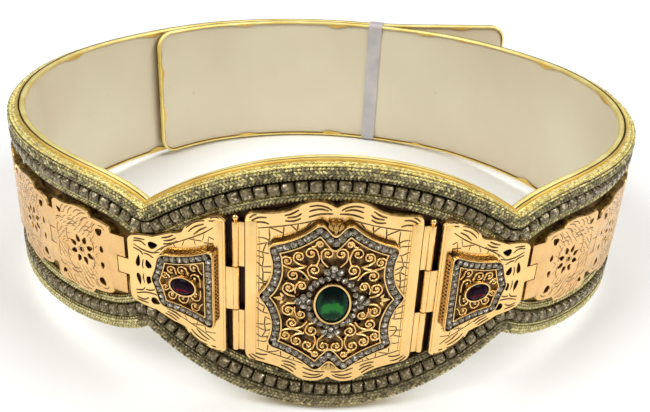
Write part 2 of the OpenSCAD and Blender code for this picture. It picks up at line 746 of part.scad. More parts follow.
module garnet() at_wall(side_plate_at, 0, 0) translate([side_stone_x, 0, 0])
    cut_oval(garnet_w, garnet_l, 16, [
        [0.9, side_sheet_top + clear], [1, side_sheet_top + 1],
        [0.9, side_bezel_top + 0.3], [0.55, side_bezel_top + 0.8]]);

module right_side_medallion() color(filigree_gold) belt_frame() side_medallion();
module left_side_medallion() color(filigree_gold) belt_frame() mirror([1, 0, 0]) side_medallion();
module right_side_pave() color(stone_grey) belt_frame() side_pave();
module left_side_pave() color(stone_grey) belt_frame() mirror([1, 0, 0]) side_pave();
module right_garnet() color("maroon") belt_frame() garnet();
module left_garnet() color("maroon") belt_frame() mirror([1, 0, 0]) garnet();

// Link plates: each has ears at its inner end and a middle tab at its outer end

// x from the link's middle, z, bow
link_rows = [
    [13.7, 0, 0],
    [13.7, 14.4, 0.4],
    [11.4, 16.2, -0.5],
    [3.6, 16.4, 0.4],
    [-3.8, 16.2, 0],
    [-5.2, 14.2, 0.3],
    [-12.1, 13.4, 0.4],
    [-13.7, 11.4, 0]];
link_outline = both_halves(trace(link_rows));
link_foot_r = 1.6;
link_feet = [[0, 10], [0, -10]];
link_slot = 15;                      // the slot for the next plate's tab starts this far in
link_slot_w = 3;
link_tab = 2.8;                      // how far a tab reaches over its own plate
petal_ring = 3.6;

module link_holes() {
    circle(0.9, $fn = 24);
    for (a = [22.5 : 45 : 360])
        drop(petal_ring * cos(a), petal_ring * sin(a), 2.4, 1.3, a);
    for (sz = [-1, 1]) {
        drop(-9, sz * 9.8, 2.8, 1.9, sz * 140);
        drop(10.4, sz * 12.6, 2, 1.3, sz * 40);
    }
}

function link_q(i) = link_at + i * link_pitch;
function link_hinge_q(i) = i == 0 ? outer_hinge_at : (link_q(i - 1) + link_q(i)) / 2;

module link_plate(i) {
    r = i == 0 ? front_radius : side_radius;
    difference() {
        union() {
            at_wall(link_q(i), 0, 0) intersection() {
                through() difference() {
                    polygon(link_outline);
                    link_holes();
                    translate([-link_slot, -tab_half - knuckle_gap])
                        square([link_slot_w, 2 * (tab_half + knuckle_gap)]);
                }
                bend(r, plate_back, plate_front);
            }
            at_wall(link_q(i), 0, 0) intersection() {
                feet(link_feet, link_foot_r);
                bend(r, half_t + seat, plate_back + plate_t / 2);
            }
            at_wall(link_hinge_q(i), 0, link_knuckle_o) {
                knuckles(ear_spans, link_knuckle_r);
                tabs(ear_spans, -tab_reach, i == 0 ? 5 : link_tab, tab_back, link_knuckle_r);
            }
            if (i < 2) at_wall(link_hinge_q(i + 1), 0, link_knuckle_o) {
                knuckles(tab_span, link_knuckle_r);
                tabs(tab_span, -link_tab, tab_reach, tab_back, link_knuckle_r);
            }
        }
        at_wall(link_hinge_q(i), 0, link_knuckle_o) bore(link_bore, strap_height);
        if (i < 2) at_wall(link_hinge_q(i + 1), 0, link_knuckle_o) bore(link_bore, strap_height);
    }
}

module right_link(i) color(link_gold) belt_frame() link_plate(i);
module left_link(i) color(link_gold) belt_frame() mirror([1, 0, 0]) link_plate(i);
module right_link_plate_1() right_link(0);
module right_link_plate_2() right_link(1);
module right_link_plate_3() right_link(2);
module left_link_plate_1() left_link(0);
module left_link_plate_2() left_link(1);
module left_link_plate_3() left_link(2);

// Hinge pins, with a small ball on top of the main ones

head_r = 1.1;
module hinge_pin() at_wall(hinge_at, 0, knuckle_o) {
    cylinder(h = 2 * knuckle_half + 0.4, r = pin_r, center = true, $fn = 32);
    translate([0, 0, knuckle_half + 0.2 + 0.9 * head_r]) sphere(head_r, $fn = 32);
}

module link_pins() for (i = [0 : 2]) at_wall(link_hinge_q(i), 0, link_knuckle_o)
    cylinder(h = 2 * link_knuckle_half, r = link_pin_r, center = true, $fn = 24);

module right_hinge_pin() color(plate_gold) belt_frame() hinge_pin();
module left_hinge_pin() color(plate_gold) belt_frame() mirror([1, 0, 0]) hinge_pin();
module right_link_pins() color(link_gold) belt_frame() link_pins();
module left_link_pins() color(link_gold) belt_frame() mirror([1, 0, 0]) link_pins();

band();
lining();
top_piping();
bottom_piping();
upper_outer_braid();
upper_inner_braid();
lower_inner_braid();
lower_outer_braid();
upper_stone_chain();
lower_stone_chain();
holding_strip();
center_plate();
center_medallion();
emerald();
flower_stones();
center_pave();
right_side_plate();
left_side_plate();
right_side_medallion();
left_side_medallion();
right_garnet();
left_garnet();
right_side_pave();
left_side_pave();
right_link_plate_1();
right_link_plate_2();
right_link_plate_3();
left_link_plate_1();
left_link_plate_2();
left_link_plate_3();
right_hinge_pin();
left_hinge_pin();
right_link_pins();
left_link_pins();
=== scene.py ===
import random
from math import acos, atan, atan2, ceil, cos, degrees, dist, exp, floor, hypot, pi, radians, sin, sqrt

import bmesh
import bpy
import numpy as np
from mathutils import Matrix, Vector, noise


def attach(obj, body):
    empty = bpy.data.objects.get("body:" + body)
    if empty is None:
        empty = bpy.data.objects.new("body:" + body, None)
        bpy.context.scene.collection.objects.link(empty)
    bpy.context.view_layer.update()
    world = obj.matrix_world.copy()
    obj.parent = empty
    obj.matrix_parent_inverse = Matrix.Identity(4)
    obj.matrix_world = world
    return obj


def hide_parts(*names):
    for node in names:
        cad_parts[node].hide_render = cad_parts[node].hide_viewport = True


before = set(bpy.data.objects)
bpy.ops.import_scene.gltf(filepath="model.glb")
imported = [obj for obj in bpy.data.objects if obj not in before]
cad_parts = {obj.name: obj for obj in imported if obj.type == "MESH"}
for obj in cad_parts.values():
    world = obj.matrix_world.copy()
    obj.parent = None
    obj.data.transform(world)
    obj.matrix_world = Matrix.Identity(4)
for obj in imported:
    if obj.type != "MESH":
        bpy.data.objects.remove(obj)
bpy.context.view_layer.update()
print("frame loaded with", len(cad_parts), "nodes")

# The belt's plan and edges in mm. q runs along the band from the middle of the front, z up from
# its middle line, o outward from the middle of its thickness. An ease is where a change starts and
# how long it takes.
belt = {
    "frontRadius": 145, "sideRadius": 90, "frontTurn": 34, "sideTurn": 89,
    "frontHeight": 95, "strapHeight": 64, "notchHeight": 49, "notchAt": 62, "notchEase": 12,
    "halfThickness": 1.5, "coreThickness": 2, "liningThickness": 0.9, "gap": 0.1,
    "flapLength": 89.9, "tailLength": 101, "endCorner": 8, "trimEnd": 222,
    "insideEase": (275, 40), "outsideEase": (255, 45), "tuck": 2.5, "tuckEase": (52, 38),
    "hugTurn": 10, "tailBendRadius": 110, "tailBendTurn": 15,
    "lean": 4.15, "restY": -100.44, "restZ": 47.52,
}
backTurn = 180 - belt["frontTurn"] - belt["sideTurn"]
backRadius = belt["sideRadius"] + (belt["frontRadius"] - belt["sideRadius"]) * (
    sin(radians(belt["frontTurn"])) / sin(radians(backTurn)))
frontArc = belt["frontRadius"] * radians(belt["frontTurn"])
sideArc = belt["sideRadius"] * radians(belt["sideTurn"])
halfLoop = frontArc + sideArc + backRadius * radians(backTurn)
flapEnd = halfLoop + belt["flapLength"]
tailEnd = halfLoop + belt["tailLength"]
hugEnd = halfLoop + backRadius * radians(belt["hugTurn"])
bendEnd = hugEnd + belt["tailBendRadius"] * radians(belt["tailBendTurn"])
halfT = belt["halfThickness"]
lap = halfT + 0.15
# the first two numbers: how far along the band the band cloth's painted shade reaches, in the front and near
# the upper edge
strip = {"frontShadeTo": 67, "upperShadeTo": 178, "step": 3.0, "notchStep": 1.0, "fineReach": 9, "cornerStep": 9,
         "clothAcross": 26, "ripple": 0.14, "liningAcross": 10, "liningRipple": 0.16,
         "pipingCover": 1.3, "lip": 1.15, "lipWander": 1.9}


def turnBy(angle, axis):
    return Matrix.Rotation(angle, 4, axis)


def shiftBy(x, y, z):
    return Matrix.Translation((x, y, z))


leanBack = turnBy(radians(-belt["lean"]), "X")
toWorld = Matrix.Scale(0.001, 4) @ shiftBy(0, belt["restY"], belt["restZ"]) @ leanBack


def outward(h):
    return Vector((sin(radians(h)), -cos(radians(h))))


frontCentre = Vector((0, belt["frontRadius"]))
sideCentre = frontCentre - (belt["frontRadius"] - belt["sideRadius"]) * -outward(belt["frontTurn"])
backCentre = sideCentre - (backRadius - belt["sideRadius"]) * outward(180 - backTurn)
arcs = ((0, 0, frontCentre, belt["frontRadius"]),
        (frontArc, belt["frontTurn"], sideCentre, belt["sideRadius"]),
        (frontArc + sideArc, belt["frontTurn"] + belt["sideTurn"], backCentre, backRadius))


def ease(s, start, length):  # 0 before the start, 1 after the length
    u = max(0.0, min(1.0, (s - start) / length))
    return u * u * (3 - 2 * u)


def arcAt(s):  # where the arc starts, its first heading, its centre and radius
    return arcs[(s >= frontArc) + (s >= frontArc + sideArc)]


def turned(s):
    start, heading, centre, radius = arcAt(s)
    return heading + degrees((s - start) / radius)


def loopPoint(s, o):
    start, heading, centre, radius = arcAt(s)
    return centre + (radius + o) * outward(turned(s))


def rightPoint(s, o):  # the right half passes inside at the back
    shift = -lap * ease(s, *belt["insideEase"]) - belt["tuck"] * ease(s - halfLoop, *belt["tuckEase"])
    return loopPoint(s, o + shift)


def tailHeading(s):
    if s < hugEnd:
        return turned(s)
    run = min(s - hugEnd, bendEnd - hugEnd)
    return 180 + belt["hugTurn"] - degrees(run / belt["tailBendRadius"])


def leftPoint(s, o):  # the left half passes outside, then bends away and runs straight
    if s < hugEnd:
        return loopPoint(s, o + lap * ease(s, *belt["outsideEase"]))
    radius = belt["tailBendRadius"]
    pivot = loopPoint(hugEnd, lap) + radius * outward(180 + belt["hugTurn"])
    h = radians(tailHeading(s))
    return (pivot - (radius - o) * outward(tailHeading(s))
            + max(0, s - bendEnd) * Vector((cos(h), sin(h))))


def onWall(q, z, o):
    q, z, o = float(q), float(z), float(o)
    p = rightPoint(q, o) if q >= 0 else leftPoint(-q, o)
    return Vector((p.x if q >= 0 else -p.x, p.y, z))


def atWall(q, z=0, o=0):  # a frame on the wall: x along it, -y outward, z up
    q = float(q)
    heading = turned(q) if q >= 0 else -tailHeading(-q)
    return Matrix.Translation(onWall(q, z, o)) @ turnBy(radians(heading), "Z")


def eyeEdge(s):
    low, high = belt["notchHeight"] / 2, belt["frontHeight"] / 2
    return low + (high - low) * (1 - (s / belt["notchAt"]) ** 2)


def strapEdge(s):
    low, high = belt["notchHeight"] / 2, belt["strapHeight"] / 2
    return high - (high - low) * exp(-(s - belt["notchAt"]) / belt["notchEase"])


def edgeSlope(s, before):  # before: on the front's side of the notch
    if before:
        return -2 * (belt["frontHeight"] - belt["notchHeight"]) / 2 * s / belt["notchAt"] ** 2
    rise = (belt["strapHeight"] - belt["notchHeight"]) / 2 / belt["notchEase"]
    return rise * exp(-(s - belt["notchAt"]) / belt["notchEase"])


def edgeHeight(s, end):  # the band's ends have rounded corners
    left, corner = end - s, belt["endCorner"]
    down = 0 if left >= corner else corner - sqrt(max(0, corner ** 2 - (corner - left) ** 2))
    return (eyeEdge(s) if s <= belt["notchAt"] else strapEdge(s)) - down


# Shared making of materials; each is kept in finishes under its name

finishes = {}


def newMaterial(name, base, metallic=0.0, roughness=0.4, **sockets):
    material = bpy.data.materials.new(name)
    material.use_nodes = True
    tree = material.node_tree
    values = {"Base_Color": (*base, 1), "Metallic": metallic, "Roughness": roughness, **sockets}
    for label, value in values.items():
        tree.nodes["Principled BSDF"].inputs[label.replace("_", " ")].default_value = value
    finishes[name] = material
    return tree


def addNode(tree, kind, links=None, **settings):
    node = tree.nodes.new("ShaderNode" + kind)
    for key, value in settings.items():
        label = key.replace("_", " ")
        if label in node.inputs:
            node.inputs[label].default_value = value
        else:
            setattr(node, key, value)
    for socket, source in (links or {}).items():
        tree.links.new(source, node.inputs[socket])
    return node


def fill(tree, node, values):  # sets each socket to a number or a colour, or links it
    for socket, value in values.items():
        if isinstance(value, bpy.types.NodeSocket):
            tree.links.new(value, node.inputs[socket])
        else:
            node.inputs[socket].default_value = (*value, 1) if isinstance(value, tuple) else value


def feed(tree, source, label="Base Color"):
    tree.links.new(source, tree.nodes["Principled BSDF"].inputs[label])


def ramp(tree, source, stops):
    node = addNode(tree, "ValToRGB", {"Fac": source})
    elements = node.color_ramp.elements
    while len(elements) < len(stops):
        elements.new(0.5)
    for element, (place, colour) in zip(elements, stops):
        element.position = place
        element.color = (*colour, 1)
    return node.outputs["Color"]


def spread(tree, source, start, end, low=0, high=1):
    return addNode(tree, "MapRange", {"Value": source}, From_Min=start, From_Max=end, To_Min=low,
                   To_Max=high).outputs["Result"]


def calculate(tree, operation, *values):
    node = addNode(tree, "Math", operation=operation)
    fill(tree, node, dict(enumerate(values)))
    return node.outputs[0]


def blend(tree, share, first, second):
    node = addNode(tree, "Mix", data_type="RGBA")
    fill(tree, node, {0: share, 6: first, 7: second})
    return node.outputs[2]


def coordinates(tree, kind="Object"):
    return addNode(tree, "TexCoord").outputs[kind]


def clouds(tree, place, scale, detail):
    return addNode(tree, "TexNoise", {"Vector": place}, Scale=scale, Detail=detail).outputs["Fac"]


def waves(tree, place, scale, distortion, direction):
    return addNode(tree, "TexWave", {"Vector": place}, Scale=scale, Distortion=distortion, Detail=1.0,
                   bands_direction=direction).outputs["Fac"]


def bump(tree, height, strength, distance):
    node = addNode(tree, "Bump", {"Height": height}, Strength=strength, Distance=distance)
    feed(tree, node.outputs["Normal"], "Normal")


def goldFinish(name, light, deep, roughness=(0.14, 0.3), cloud=70.0, metallic=1):
    tree = newMaterial(name, light, metallic)
    place = coordinates(tree)
    feed(tree, ramp(tree, clouds(tree, place, cloud, 4), [(0.3, deep), (0.62, light)]))
    feed(tree, spread(tree, clouds(tree, place, 420, 5), 0, 1, *roughness), "Roughness")
    bump(tree, clouds(tree, place, 1800, 2), 0.25, 0.000012)


def cutFinish(name, dark, bright):  # the dark ground of an engraved line
    tree = newMaterial(name, dark, 0.7, 0.45)
    feed(tree, ramp(tree, clouds(tree, coordinates(tree), 700, 3), [(0.42, dark), (0.8, bright)]))


def galleryFinish(name):  # dark metal behind the wires, painted as the shade of the hollow under the pierced work
    tree = newMaterial(name, (0.1, 0.05, 0.02), 0.85)
    blots = clouds(tree, coordinates(tree), 330, 4)
    feed(tree, ramp(tree, blots, [(0.4, (0.022, 0.009, 0.003)), (0.53, (0.08, 0.038, 0.011)),
                                  (0.7, (0.36, 0.22, 0.07))]))
    feed(tree, spread(tree, blots, 0, 1, 0.5, 0.25), "Roughness")


def stoneFinish(name, stops, roughness, cell, **sockets):  # cut glass over foil; its lightest cells are painted glints
    tree = newMaterial(name, stops[0][1], roughness=roughness, **sockets)
    cells = addNode(tree, "TexVoronoi", {"Vector": coordinates(tree)}, Scale=cell)
    feed(tree, ramp(tree, cells.outputs["Color"], stops))
    bump(tree, cells.outputs["Distance"], 0.35, 0.0001)


def threadFinish(name, dark, mid, light):
    tree = newMaterial(name, mid, 0.6, 0.34)
    place = coordinates(tree)
    feed(tree, ramp(tree, clouds(tree, place, 900, 3), [(0.36, dark), (0.5, mid), (0.66, light)]))
    bump(tree, waves(tree, place, 1500, 3, "DIAGONAL"), 0.5, 0.00008)


def lameFinish(name, light, deep, weave=900, front=None):
    # front: a dark colour painted over the cloth as shade, all over the middle of the front where the plates
    # stand off it, and further round near the upper edge under the braid, fading out at the far end of that
    # stretch
    tree = newMaterial(name, light, 0.6)
    flow = coordinates(tree, "UV")
    tint = ramp(tree, clouds(tree, coordinates(tree), 90, 3), [(0.3, deep), (0.65, light)])
    if front:
        parts = addNode(tree, "SeparateXYZ", {"Vector": flow}).outputs
        along = calculate(tree, "ABSOLUTE", parts["X"])
        near, far = strip["frontShadeTo"] / 1000, strip["upperShadeTo"] / 1000
        lit = calculate(tree, "MAXIMUM", spread(tree, parts["Y"], 0.016, 0.006),
                        spread(tree, along, far - 0.03, far))
        share = calculate(tree, "MULTIPLY", spread(tree, along, near - 0.0008, near), lit)
        # where share is 0 the painted shade colour is laid over the cloth
        tint = blend(tree, share, front, tint)
    feed(tree, tint)
    weft = waves(tree, flow, weave, 0.6, "X")
    bump(tree, calculate(tree, "MULTIPLY", weft, waves(tree, flow, weave * 0.8, 0.6, "Y")), 0.4, 0.00008)


def liningFinish(name):
    tree = newMaterial(name, (0.71, 0.67, 0.49), roughness=0.3, Coat_Weight=0.35, Coat_Roughness=0.12)
    place = coordinates(tree)
    cream = ramp(tree, clouds(tree, place, 16, 3), [(0.3, (0.62, 0.54, 0.38)), (0.7, (0.7, 0.63, 0.46))])
    specks = ramp(tree, clouds(tree, place, 260, 2), [(0.775, (0, 0, 0)), (0.79, (1, 1, 1))])
    feed(tree, blend(tree, specks, cream, (0.25, 0.22, 0.16)))
    bump(tree, clouds(tree, place, 45, 2), 0.25, 0.0006)


goldFinish("plateGold", (0.93, 0.64, 0.265), (0.86, 0.56, 0.21))
goldFinish("linkGold", (0.82, 0.54, 0.24), (0.75, 0.45, 0.175), (0.2, 0.38))
goldFinish("wireGold", (0.86, 0.6, 0.26), (0.66, 0.42, 0.14), (0.12, 0.28), 300)
goldFinish("plateEdge", (0.8, 0.52, 0.18), (0.09, 0.045, 0.012), (0.28, 0.45), 620)
# the gallery wall's gold, painted dark as shade
goldFinish("galleryWall", (0.26, 0.16, 0.05), (0.045, 0.024, 0.007), (0.35, 0.55), 360)
goldFinish("leafGold", (0.66, 0.44, 0.15), (0.4, 0.24, 0.07), (0.2, 0.35))
# a lit copy of the gold, painted as light on the side walls' faces towards the middle
goldFinish("sideWallGold", (0.9, 0.6, 0.27), (0.78, 0.48, 0.19), (0.35, 0.5), 300, 0.35)
goldFinish("cupMetal", (0.36, 0.3, 0.16), (0.16, 0.13, 0.065), (0.35, 0.5))
goldFinish("settingMetal", (0.36, 0.29, 0.19), (0.14, 0.11, 0.065), (0.3, 0.45))
cutFinish("engravedLine", (0.05, 0.024, 0.008), (0.28, 0.17, 0.06))
cutFinish("softLine", (0.16, 0.08, 0.028), (0.42, 0.25, 0.1))
# the dark metal is painted shade under the pierced work and on the side walls' upward faces; the side dots
# take it too
galleryFinish("galleryMetal")
# besides the threads' own variation, the bright and gold threads paint light on the braids and the deep
# thread paints shade
threadFinish("braidThread", (0.17, 0.142, 0.07), (0.33, 0.282, 0.14), (0.5, 0.435, 0.23))
threadFinish("brightThread", (0.4, 0.34, 0.14), (0.64, 0.56, 0.25), (0.92, 0.82, 0.42))
threadFinish("deepThread", (0.09, 0.073, 0.035), (0.18, 0.148, 0.074), (0.3, 0.25, 0.12))
threadFinish("goldThread", (0.55, 0.42, 0.1), (0.86, 0.72, 0.24), (0.98, 0.92, 0.5))
# the band cloth's last colour is painted shade, laid where the plates and the braid shade the band
lameFinish("bandCloth", (0.78, 0.55, 0.15), (0.5, 0.33, 0.07), 1600, (0.055, 0.024, 0.012))
lameFinish("pipingCloth", (0.85, 0.58, 0.15), (0.62, 0.38, 0.06))
# lit and shaded copies of the piping cloth: a painted highlight on the top of the edge and painted shade in
# the fold
lameFinish("pipingEdge", (0.98, 0.86, 0.36), (0.82, 0.62, 0.16))
lameFinish("pipingFold", (0.2, 0.15, 0.035), (0.07, 0.05, 0.01))
liningFinish("liningSheet")
# the last stop of each stone is a painted glint on a few facets
stoneFinish("chainStone", [(0.15, (0.075, 0.056, 0.025)), (0.45, (0.16, 0.125, 0.06)),
                           (0.75, (0.26, 0.21, 0.11)), (0.95, (0.66, 0.57, 0.36))],
            0.18, 1600, metallic=0.3, Specular_IOR_Level=0.4)
stoneFinish("clearStone", [(0.12, (0.068, 0.053, 0.034)), (0.42, (0.175, 0.145, 0.1)),
                           (0.72, (0.33, 0.285, 0.21)), (0.9, (0.95, 0.9, 0.78))],
            0.14, 1700, metallic=0.35, Specular_IOR_Level=0.5)
print("finishes made")


# Shared making of shapes, all in mm in the belt's own frame until placePiece

def meshOf(bm, name, closed=True):
    if closed:
        bmesh.ops.recalc_face_normals(bm, faces=bm.faces)
    mesh = bpy.data.meshes.new(name)
    bm.to_mesh(mesh)
    bm.free()
    return mesh


def placePiece(mesh, name, looks, replaced, sharp=38):  # looks: the names of its finishes
    mesh.transform(toWorld)
    for look in looks.split():
        mesh.materials.append(finishes[look])
    mesh.shade_smooth()
    mesh.set_sharp_from_angle(angle=radians(sharp))
    piece = bpy.data.objects.new(name, mesh)
    bpy.context.scene.collection.objects.link(piece)
    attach(piece, "root")
    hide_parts(replaced)
    return piece


def finishPiece(bm, name, looks, replaced, sharp=38, closed=True):
    placePiece(meshOf(bm, name, closed), name, looks, replaced, sharp)


def joinPart(bm, part, move=None, material=0, closed=True):  # adds a part; material None keeps its own
    if move:
        bmesh.ops.transform(part, matrix=move, verts=part.verts)
    if material is not None:
        for face in part.faces:
            face.material_index = material
    mesh = meshOf(part, "part", closed)
    bm.from_mesh(mesh)
    bpy.data.meshes.remove(mesh)


def gridVerts(bm, columns, rows):  # a new grid's vertices, each with its column and row
    made = bmesh.ops.create_grid(bm, x_segments=columns, y_segments=rows, size=0.5)["verts"]
    return [(v, round((v.co.x + 0.5) * columns), round((v.co.y + 0.5) * rows)) for v in made]


def layUv(bm, uv, where):
    for face in bm.faces:
        for corner in face.loops:
            corner[uv].uv = where[corner.vert]


def sweep(bm, path, section, place, loop=False, tones=None):
    # lays a section (across, height; a function of 0 to 1 where it changes) along a path of (x, z);
    # loop closes the path; tones, the materials of the section's sides, leave the section open
    path = np.asarray(path, float)
    count = len(path)
    ahead = np.roll(path, -1, 0) - np.roll(path, 1, 0)
    if not loop:
        ahead[0], ahead[-1] = path[1] - path[0], path[-1] - path[-2]
    ahead /= np.linalg.norm(ahead, axis=1)[:, None] + 1e-9
    rows = [section(i / (count - 1)) if callable(section) else section for i in range(count)]
    width = len(rows[0])
    cells = width - 1 if tones else width
    made = gridVerts(bm, count if loop else count - 1, cells)
    if tones:
        for face in {f for v, i, j in made for f in v.link_faces}:
            face.material_index = tones[int((face.calc_center_median().y + 0.5) * cells)]
    for v, i, j in made:
        i %= count
        across, height = rows[i][j % width]
        v.co = place(path[i][0] + across * ahead[i][1], path[i][1] - across * ahead[i][0], height)


def closeUp(bm, distance=0.002):  # merges seams, then caps open ends
    bmesh.ops.remove_doubles(bm, verts=bm.verts, dist=distance)
    bmesh.ops.holes_fill(bm, edges=[e for e in bm.edges if e.is_boundary], sides=0)


def curveThrough(points, steps):  # a smooth curve through a few points
    p = [Vector(x) for x in points]
    p = [2 * p[0] - p[1]] + p + [2 * p[-1] - p[-2]]
    out = []
    for a, b, c, d in zip(p, p[1:], p[2:], p[3:]):
        for k in range(steps):
            t = k / steps
            out.append(0.5 * (2 * b + (c - a) * t + (2 * a - 5 * b + 4 * c - d) * t * t
                              + (3 * b - a - 3 * c + d) * t ** 3))
    return out + [p[-2]]


def stampCopies(name, template, matrices, looks, replaced, sharp, tones=None):
    # joins many copies of a small mesh, each with its own matrix, into one piece;
    # tones gives each copy a material of its own
    step = len(template.vertices)
    co = np.zeros(step * 3)
    template.vertices.foreach_get("co", co)
    co = np.c_[co.reshape(-1, 3), np.ones(step)]
    loops = [list(p.vertices) for p in template.polygons]
    kinds = [p.material_index for p in template.polygons]
    m = np.array([np.array(x) for x in matrices])
    points = np.einsum("nij,kj->nki", m[:, :3, :], co).reshape(-1, 3)
    faces = [[v + n * step for v in loop] for n in range(len(m)) for loop in loops]
    mesh = bpy.data.meshes.new(name)
    mesh.from_pydata(points.tolist(), [], faces)
    mesh.polygons.foreach_set("material_index", kinds * len(m) if tones is None else
                              [tone for tone in tones for face in loops])
    mesh.update()
    return placePiece(mesh, name, looks, replaced, sharp)


# The strip: covered band, lining and piping

def stations():
    places = set()
    for end, sign in ((tailEnd, -1), (flapEnd, 1)):
        steps, s = [belt["notchAt"]], 0.0
        while s < end - belt["endCorner"]:
            away = abs(s - belt["notchAt"])
            if away > 0.4:
                steps.append(s)
            s += strip["notchStep"] if away < strip["fineReach"] else strip["step"]
        steps += [end - belt["endCorner"] * (1 - sin(radians(a))) for a in range(0, 91, strip["cornerStep"])]
        places.update(sign * x for x in steps)
    return sorted(places)


edgeLine = np.array([[q, edgeHeight(abs(q), tailEnd if q < 0 else flapEnd)] for q in stations()])


def runs(line):  # the length of the line up to each of its points
    return np.r_[0, np.cumsum(np.linalg.norm(np.diff(line, axis=0), axis=1))]


def insetLine(line, d):  # the edge moved d into the band, with mitred corners
    steps = np.diff(line, axis=0)
    steps /= np.linalg.norm(steps, axis=1)[:, None] + 1e-9
    a, b = np.vstack([steps[:1], steps]), np.vstack([steps, steps[-1:]])
    na, nb = np.c_[a[:, 1], -a[:, 0]], np.c_[b[:, 1], -b[:, 0]]
    dot = (na * nb).sum(1)[:, None]
    moved = line + d * (na + nb) / (1 + np.maximum(dot, -0.2))
    moved[:, 1] = np.maximum(moved[:, 1], 0.05)
    return moved


def wavy(q, z, size, depth, seed=0.0):
    return depth * noise.noise(Vector((q / size, z / size, seed)))


def stripSheet(name, look, replaced, low, high, across, ripple, outer):
    # between its edges it ripples outside where outer is True, and inside where it isn't
    line = insetLine(edgeLine, strip["pipingCover"] + 0.1)
    bm = bmesh.new()
    uv = bm.loops.layers.uv.new("UVMap")
    rows, where = across + 2, {}
    for v, i, j in gridVerts(bm, len(line) - 1, rows * 2):
        j %= rows * 2
        q, top = line[i]
        front = j <= rows
        t = (j / rows if front else 2 - j / rows) * 2 - 1
        o = high if front else low
        if j not in (0, rows) and front == outer:
            fade = min(1.0, 8 * (1 - abs(t)))
            o += fade * wavy(q, t * top, 9.0, ripple) + fade * wavy(q, t * top, 31.0, ripple)
        v.co = onWall(q, t * top, o)
        where[v] = (q / 1000, t * top / 1000 + (0 if front else 0.2))
    layUv(bm, uv, where)
    closeUp(bm)
    finishPiece(bm, name, look, replaced, sharp=60)


stripSheet("coveredBand", "bandCloth", "band", halfT - belt["coreThickness"], halfT,
           strip["clothAcross"], strip["ripple"], True)
stripSheet("creamLining", "liningSheet", "lining", -halfT, -halfT + belt["liningThickness"],
           strip["liningAcross"], strip["liningRipple"], False)

piping = {  # the ring is the distance in from the edge and the height over the middle of the band
    "ring": [(1.3, 1.5), (0.9, 1.62), (0.2, 1.5), (0.12, 1.1), (0.95, 0.8), (0.12, 0.42), (0, 0), (0, -0.85),
             (0.2, -1.45), (0.9, -1.66)],
    # tones: the groove's rows are painted dark as shade, and the top of the edge painted light as a highlight
    "tones": [0, 0, 0, 2, 2, 1, 1, 1, 1, 0, 0, 0], "flat": 1.45, "downEnds": 6}


def pipingPiece(name, side, replaced):
    steps = piping["downEnds"]  # it covers the band's two ends too
    downEnds = [edgeLine[-1][1] * k / steps for k in range(steps)]
    line = np.array([(edgeLine[0][0], z) for z in downEnds] + list(edgeLine)
                    + [(edgeLine[-1][0], z) for z in downEnds[::-1]])
    ring = piping["ring"]
    deep = {d: insetLine(line, d) for d, o in ring}
    lipMost = strip["lip"] + strip["lipWander"]
    inner = insetLine(line, lipMost)
    run = runs(line)
    bm = bmesh.new()
    uv = bm.loops.layers.uv.new("UVMap")
    where = {}
    for v, i, j in gridVerts(bm, len(line) - 1, len(ring) + 2):
        j %= len(ring) + 2
        q = run[i]
        crease = wavy(q, side * 7, 2.2, 0.12) + wavy(q, side * 3, 9, 0.1)
        if j < len(ring):
            d, o = ring[j]
            p = deep[d][i]
            o += crease if abs(o) < piping["flat"] else 0.4 * crease * (1 if o > 0 else -1)
        else:  # the lip inside wanders, and the last row is tucked under it
            wander = 1.6 * sin(q / 13) * sin(q / 5.3 + 1) - 0.7 + wavy(q, side * 11, 4, 0.5)
            share = (strip["lip"] + strip["lipWander"] * min(1, max(0, wander))) / lipMost
            p = line[i] + (inner[i] - line[i]) * (share if j == len(ring) else 0.3)
            o = -halfT - 0.07 if j == len(ring) else -halfT + 0.3
        v.co = onWall(p[0], side * max(p[1], 0), o)
        where[v] = (q / 1000, j / 1000)
    # the fold is painted dark as shade and the top of the edge light as a highlight
    for face in bm.faces:
        steps = sorted(round(where[v][1] * 1000) for v in face.verts)
        face.material_index = piping["tones"][steps[0]] if steps[-1] - steps[0] == 1 else 0
    layUv(bm, uv, where)
    closeUp(bm)
    finishPiece(bm, name, "pipingCloth pipingEdge pipingFold", replaced, sharp=70)


pipingPiece("topGoldPiping", 1, "top_piping")
pipingPiece("bottomGoldPiping", -1, "bottom_piping")
print("strip laid out")

# Trims: braids and stone chains follow the edge and fan round each notch

trims = {"eyeStep": 2.0, "fanSteps": 14, "strapStep": 2.0, "paleFrom": 66,
         "outerStart": 0.9, "outerWidth": 5.3, "outerHeight": 3.8,
         "innerStart": 10.6, "innerWidth": 3.0, "innerHeight": 2.2,
         "spread": 0.93, "archSteps": 8, "archInset": 0.45, "archPower": 0.75, "foot": 0.1,
         "stitch": (1.05, 0.38, 0.46), "stitchPitch": 1.2, "stitchLean": 40, "stitchInset": 0.5,
         "stitchRange": (0.01, 0.93), "unevenness": 0.15,
         "chainStart": 6.4, "stone": 4.0, "chainHeight": 3.6, "chainPitch": 4.2}


def trimGuide():  # rows of q, z and the direction into the band
    notch = belt["notchAt"]
    n = round(notch / trims["eyeStep"])
    places = [notch * i / n for i in range(n + 1)]
    rows = [(s, eyeEdge(s), atan(edgeSlope(s, True))) for s in places]
    first, last = atan(edgeSlope(notch, True)), atan(edgeSlope(notch, False))
    n = trims["fanSteps"]
    rows += [(notch, belt["notchHeight"] / 2, first + (last - first) * i / n) for i in range(1, n + 1)]
    n = round((belt["trimEnd"] - notch) / trims["strapStep"])
    places = [notch + (belt["trimEnd"] - notch) * i / n for i in range(1, n + 1)]
    rows += [(s, strapEdge(s), atan(edgeSlope(s, False))) for s in places]
    right = [(s, z, sin(a), -cos(a)) for s, z, a in rows]
    return [(-s, z, -a, b) for s, z, a, b in right[:0:-1]] + right


guide = np.array(trimGuide())


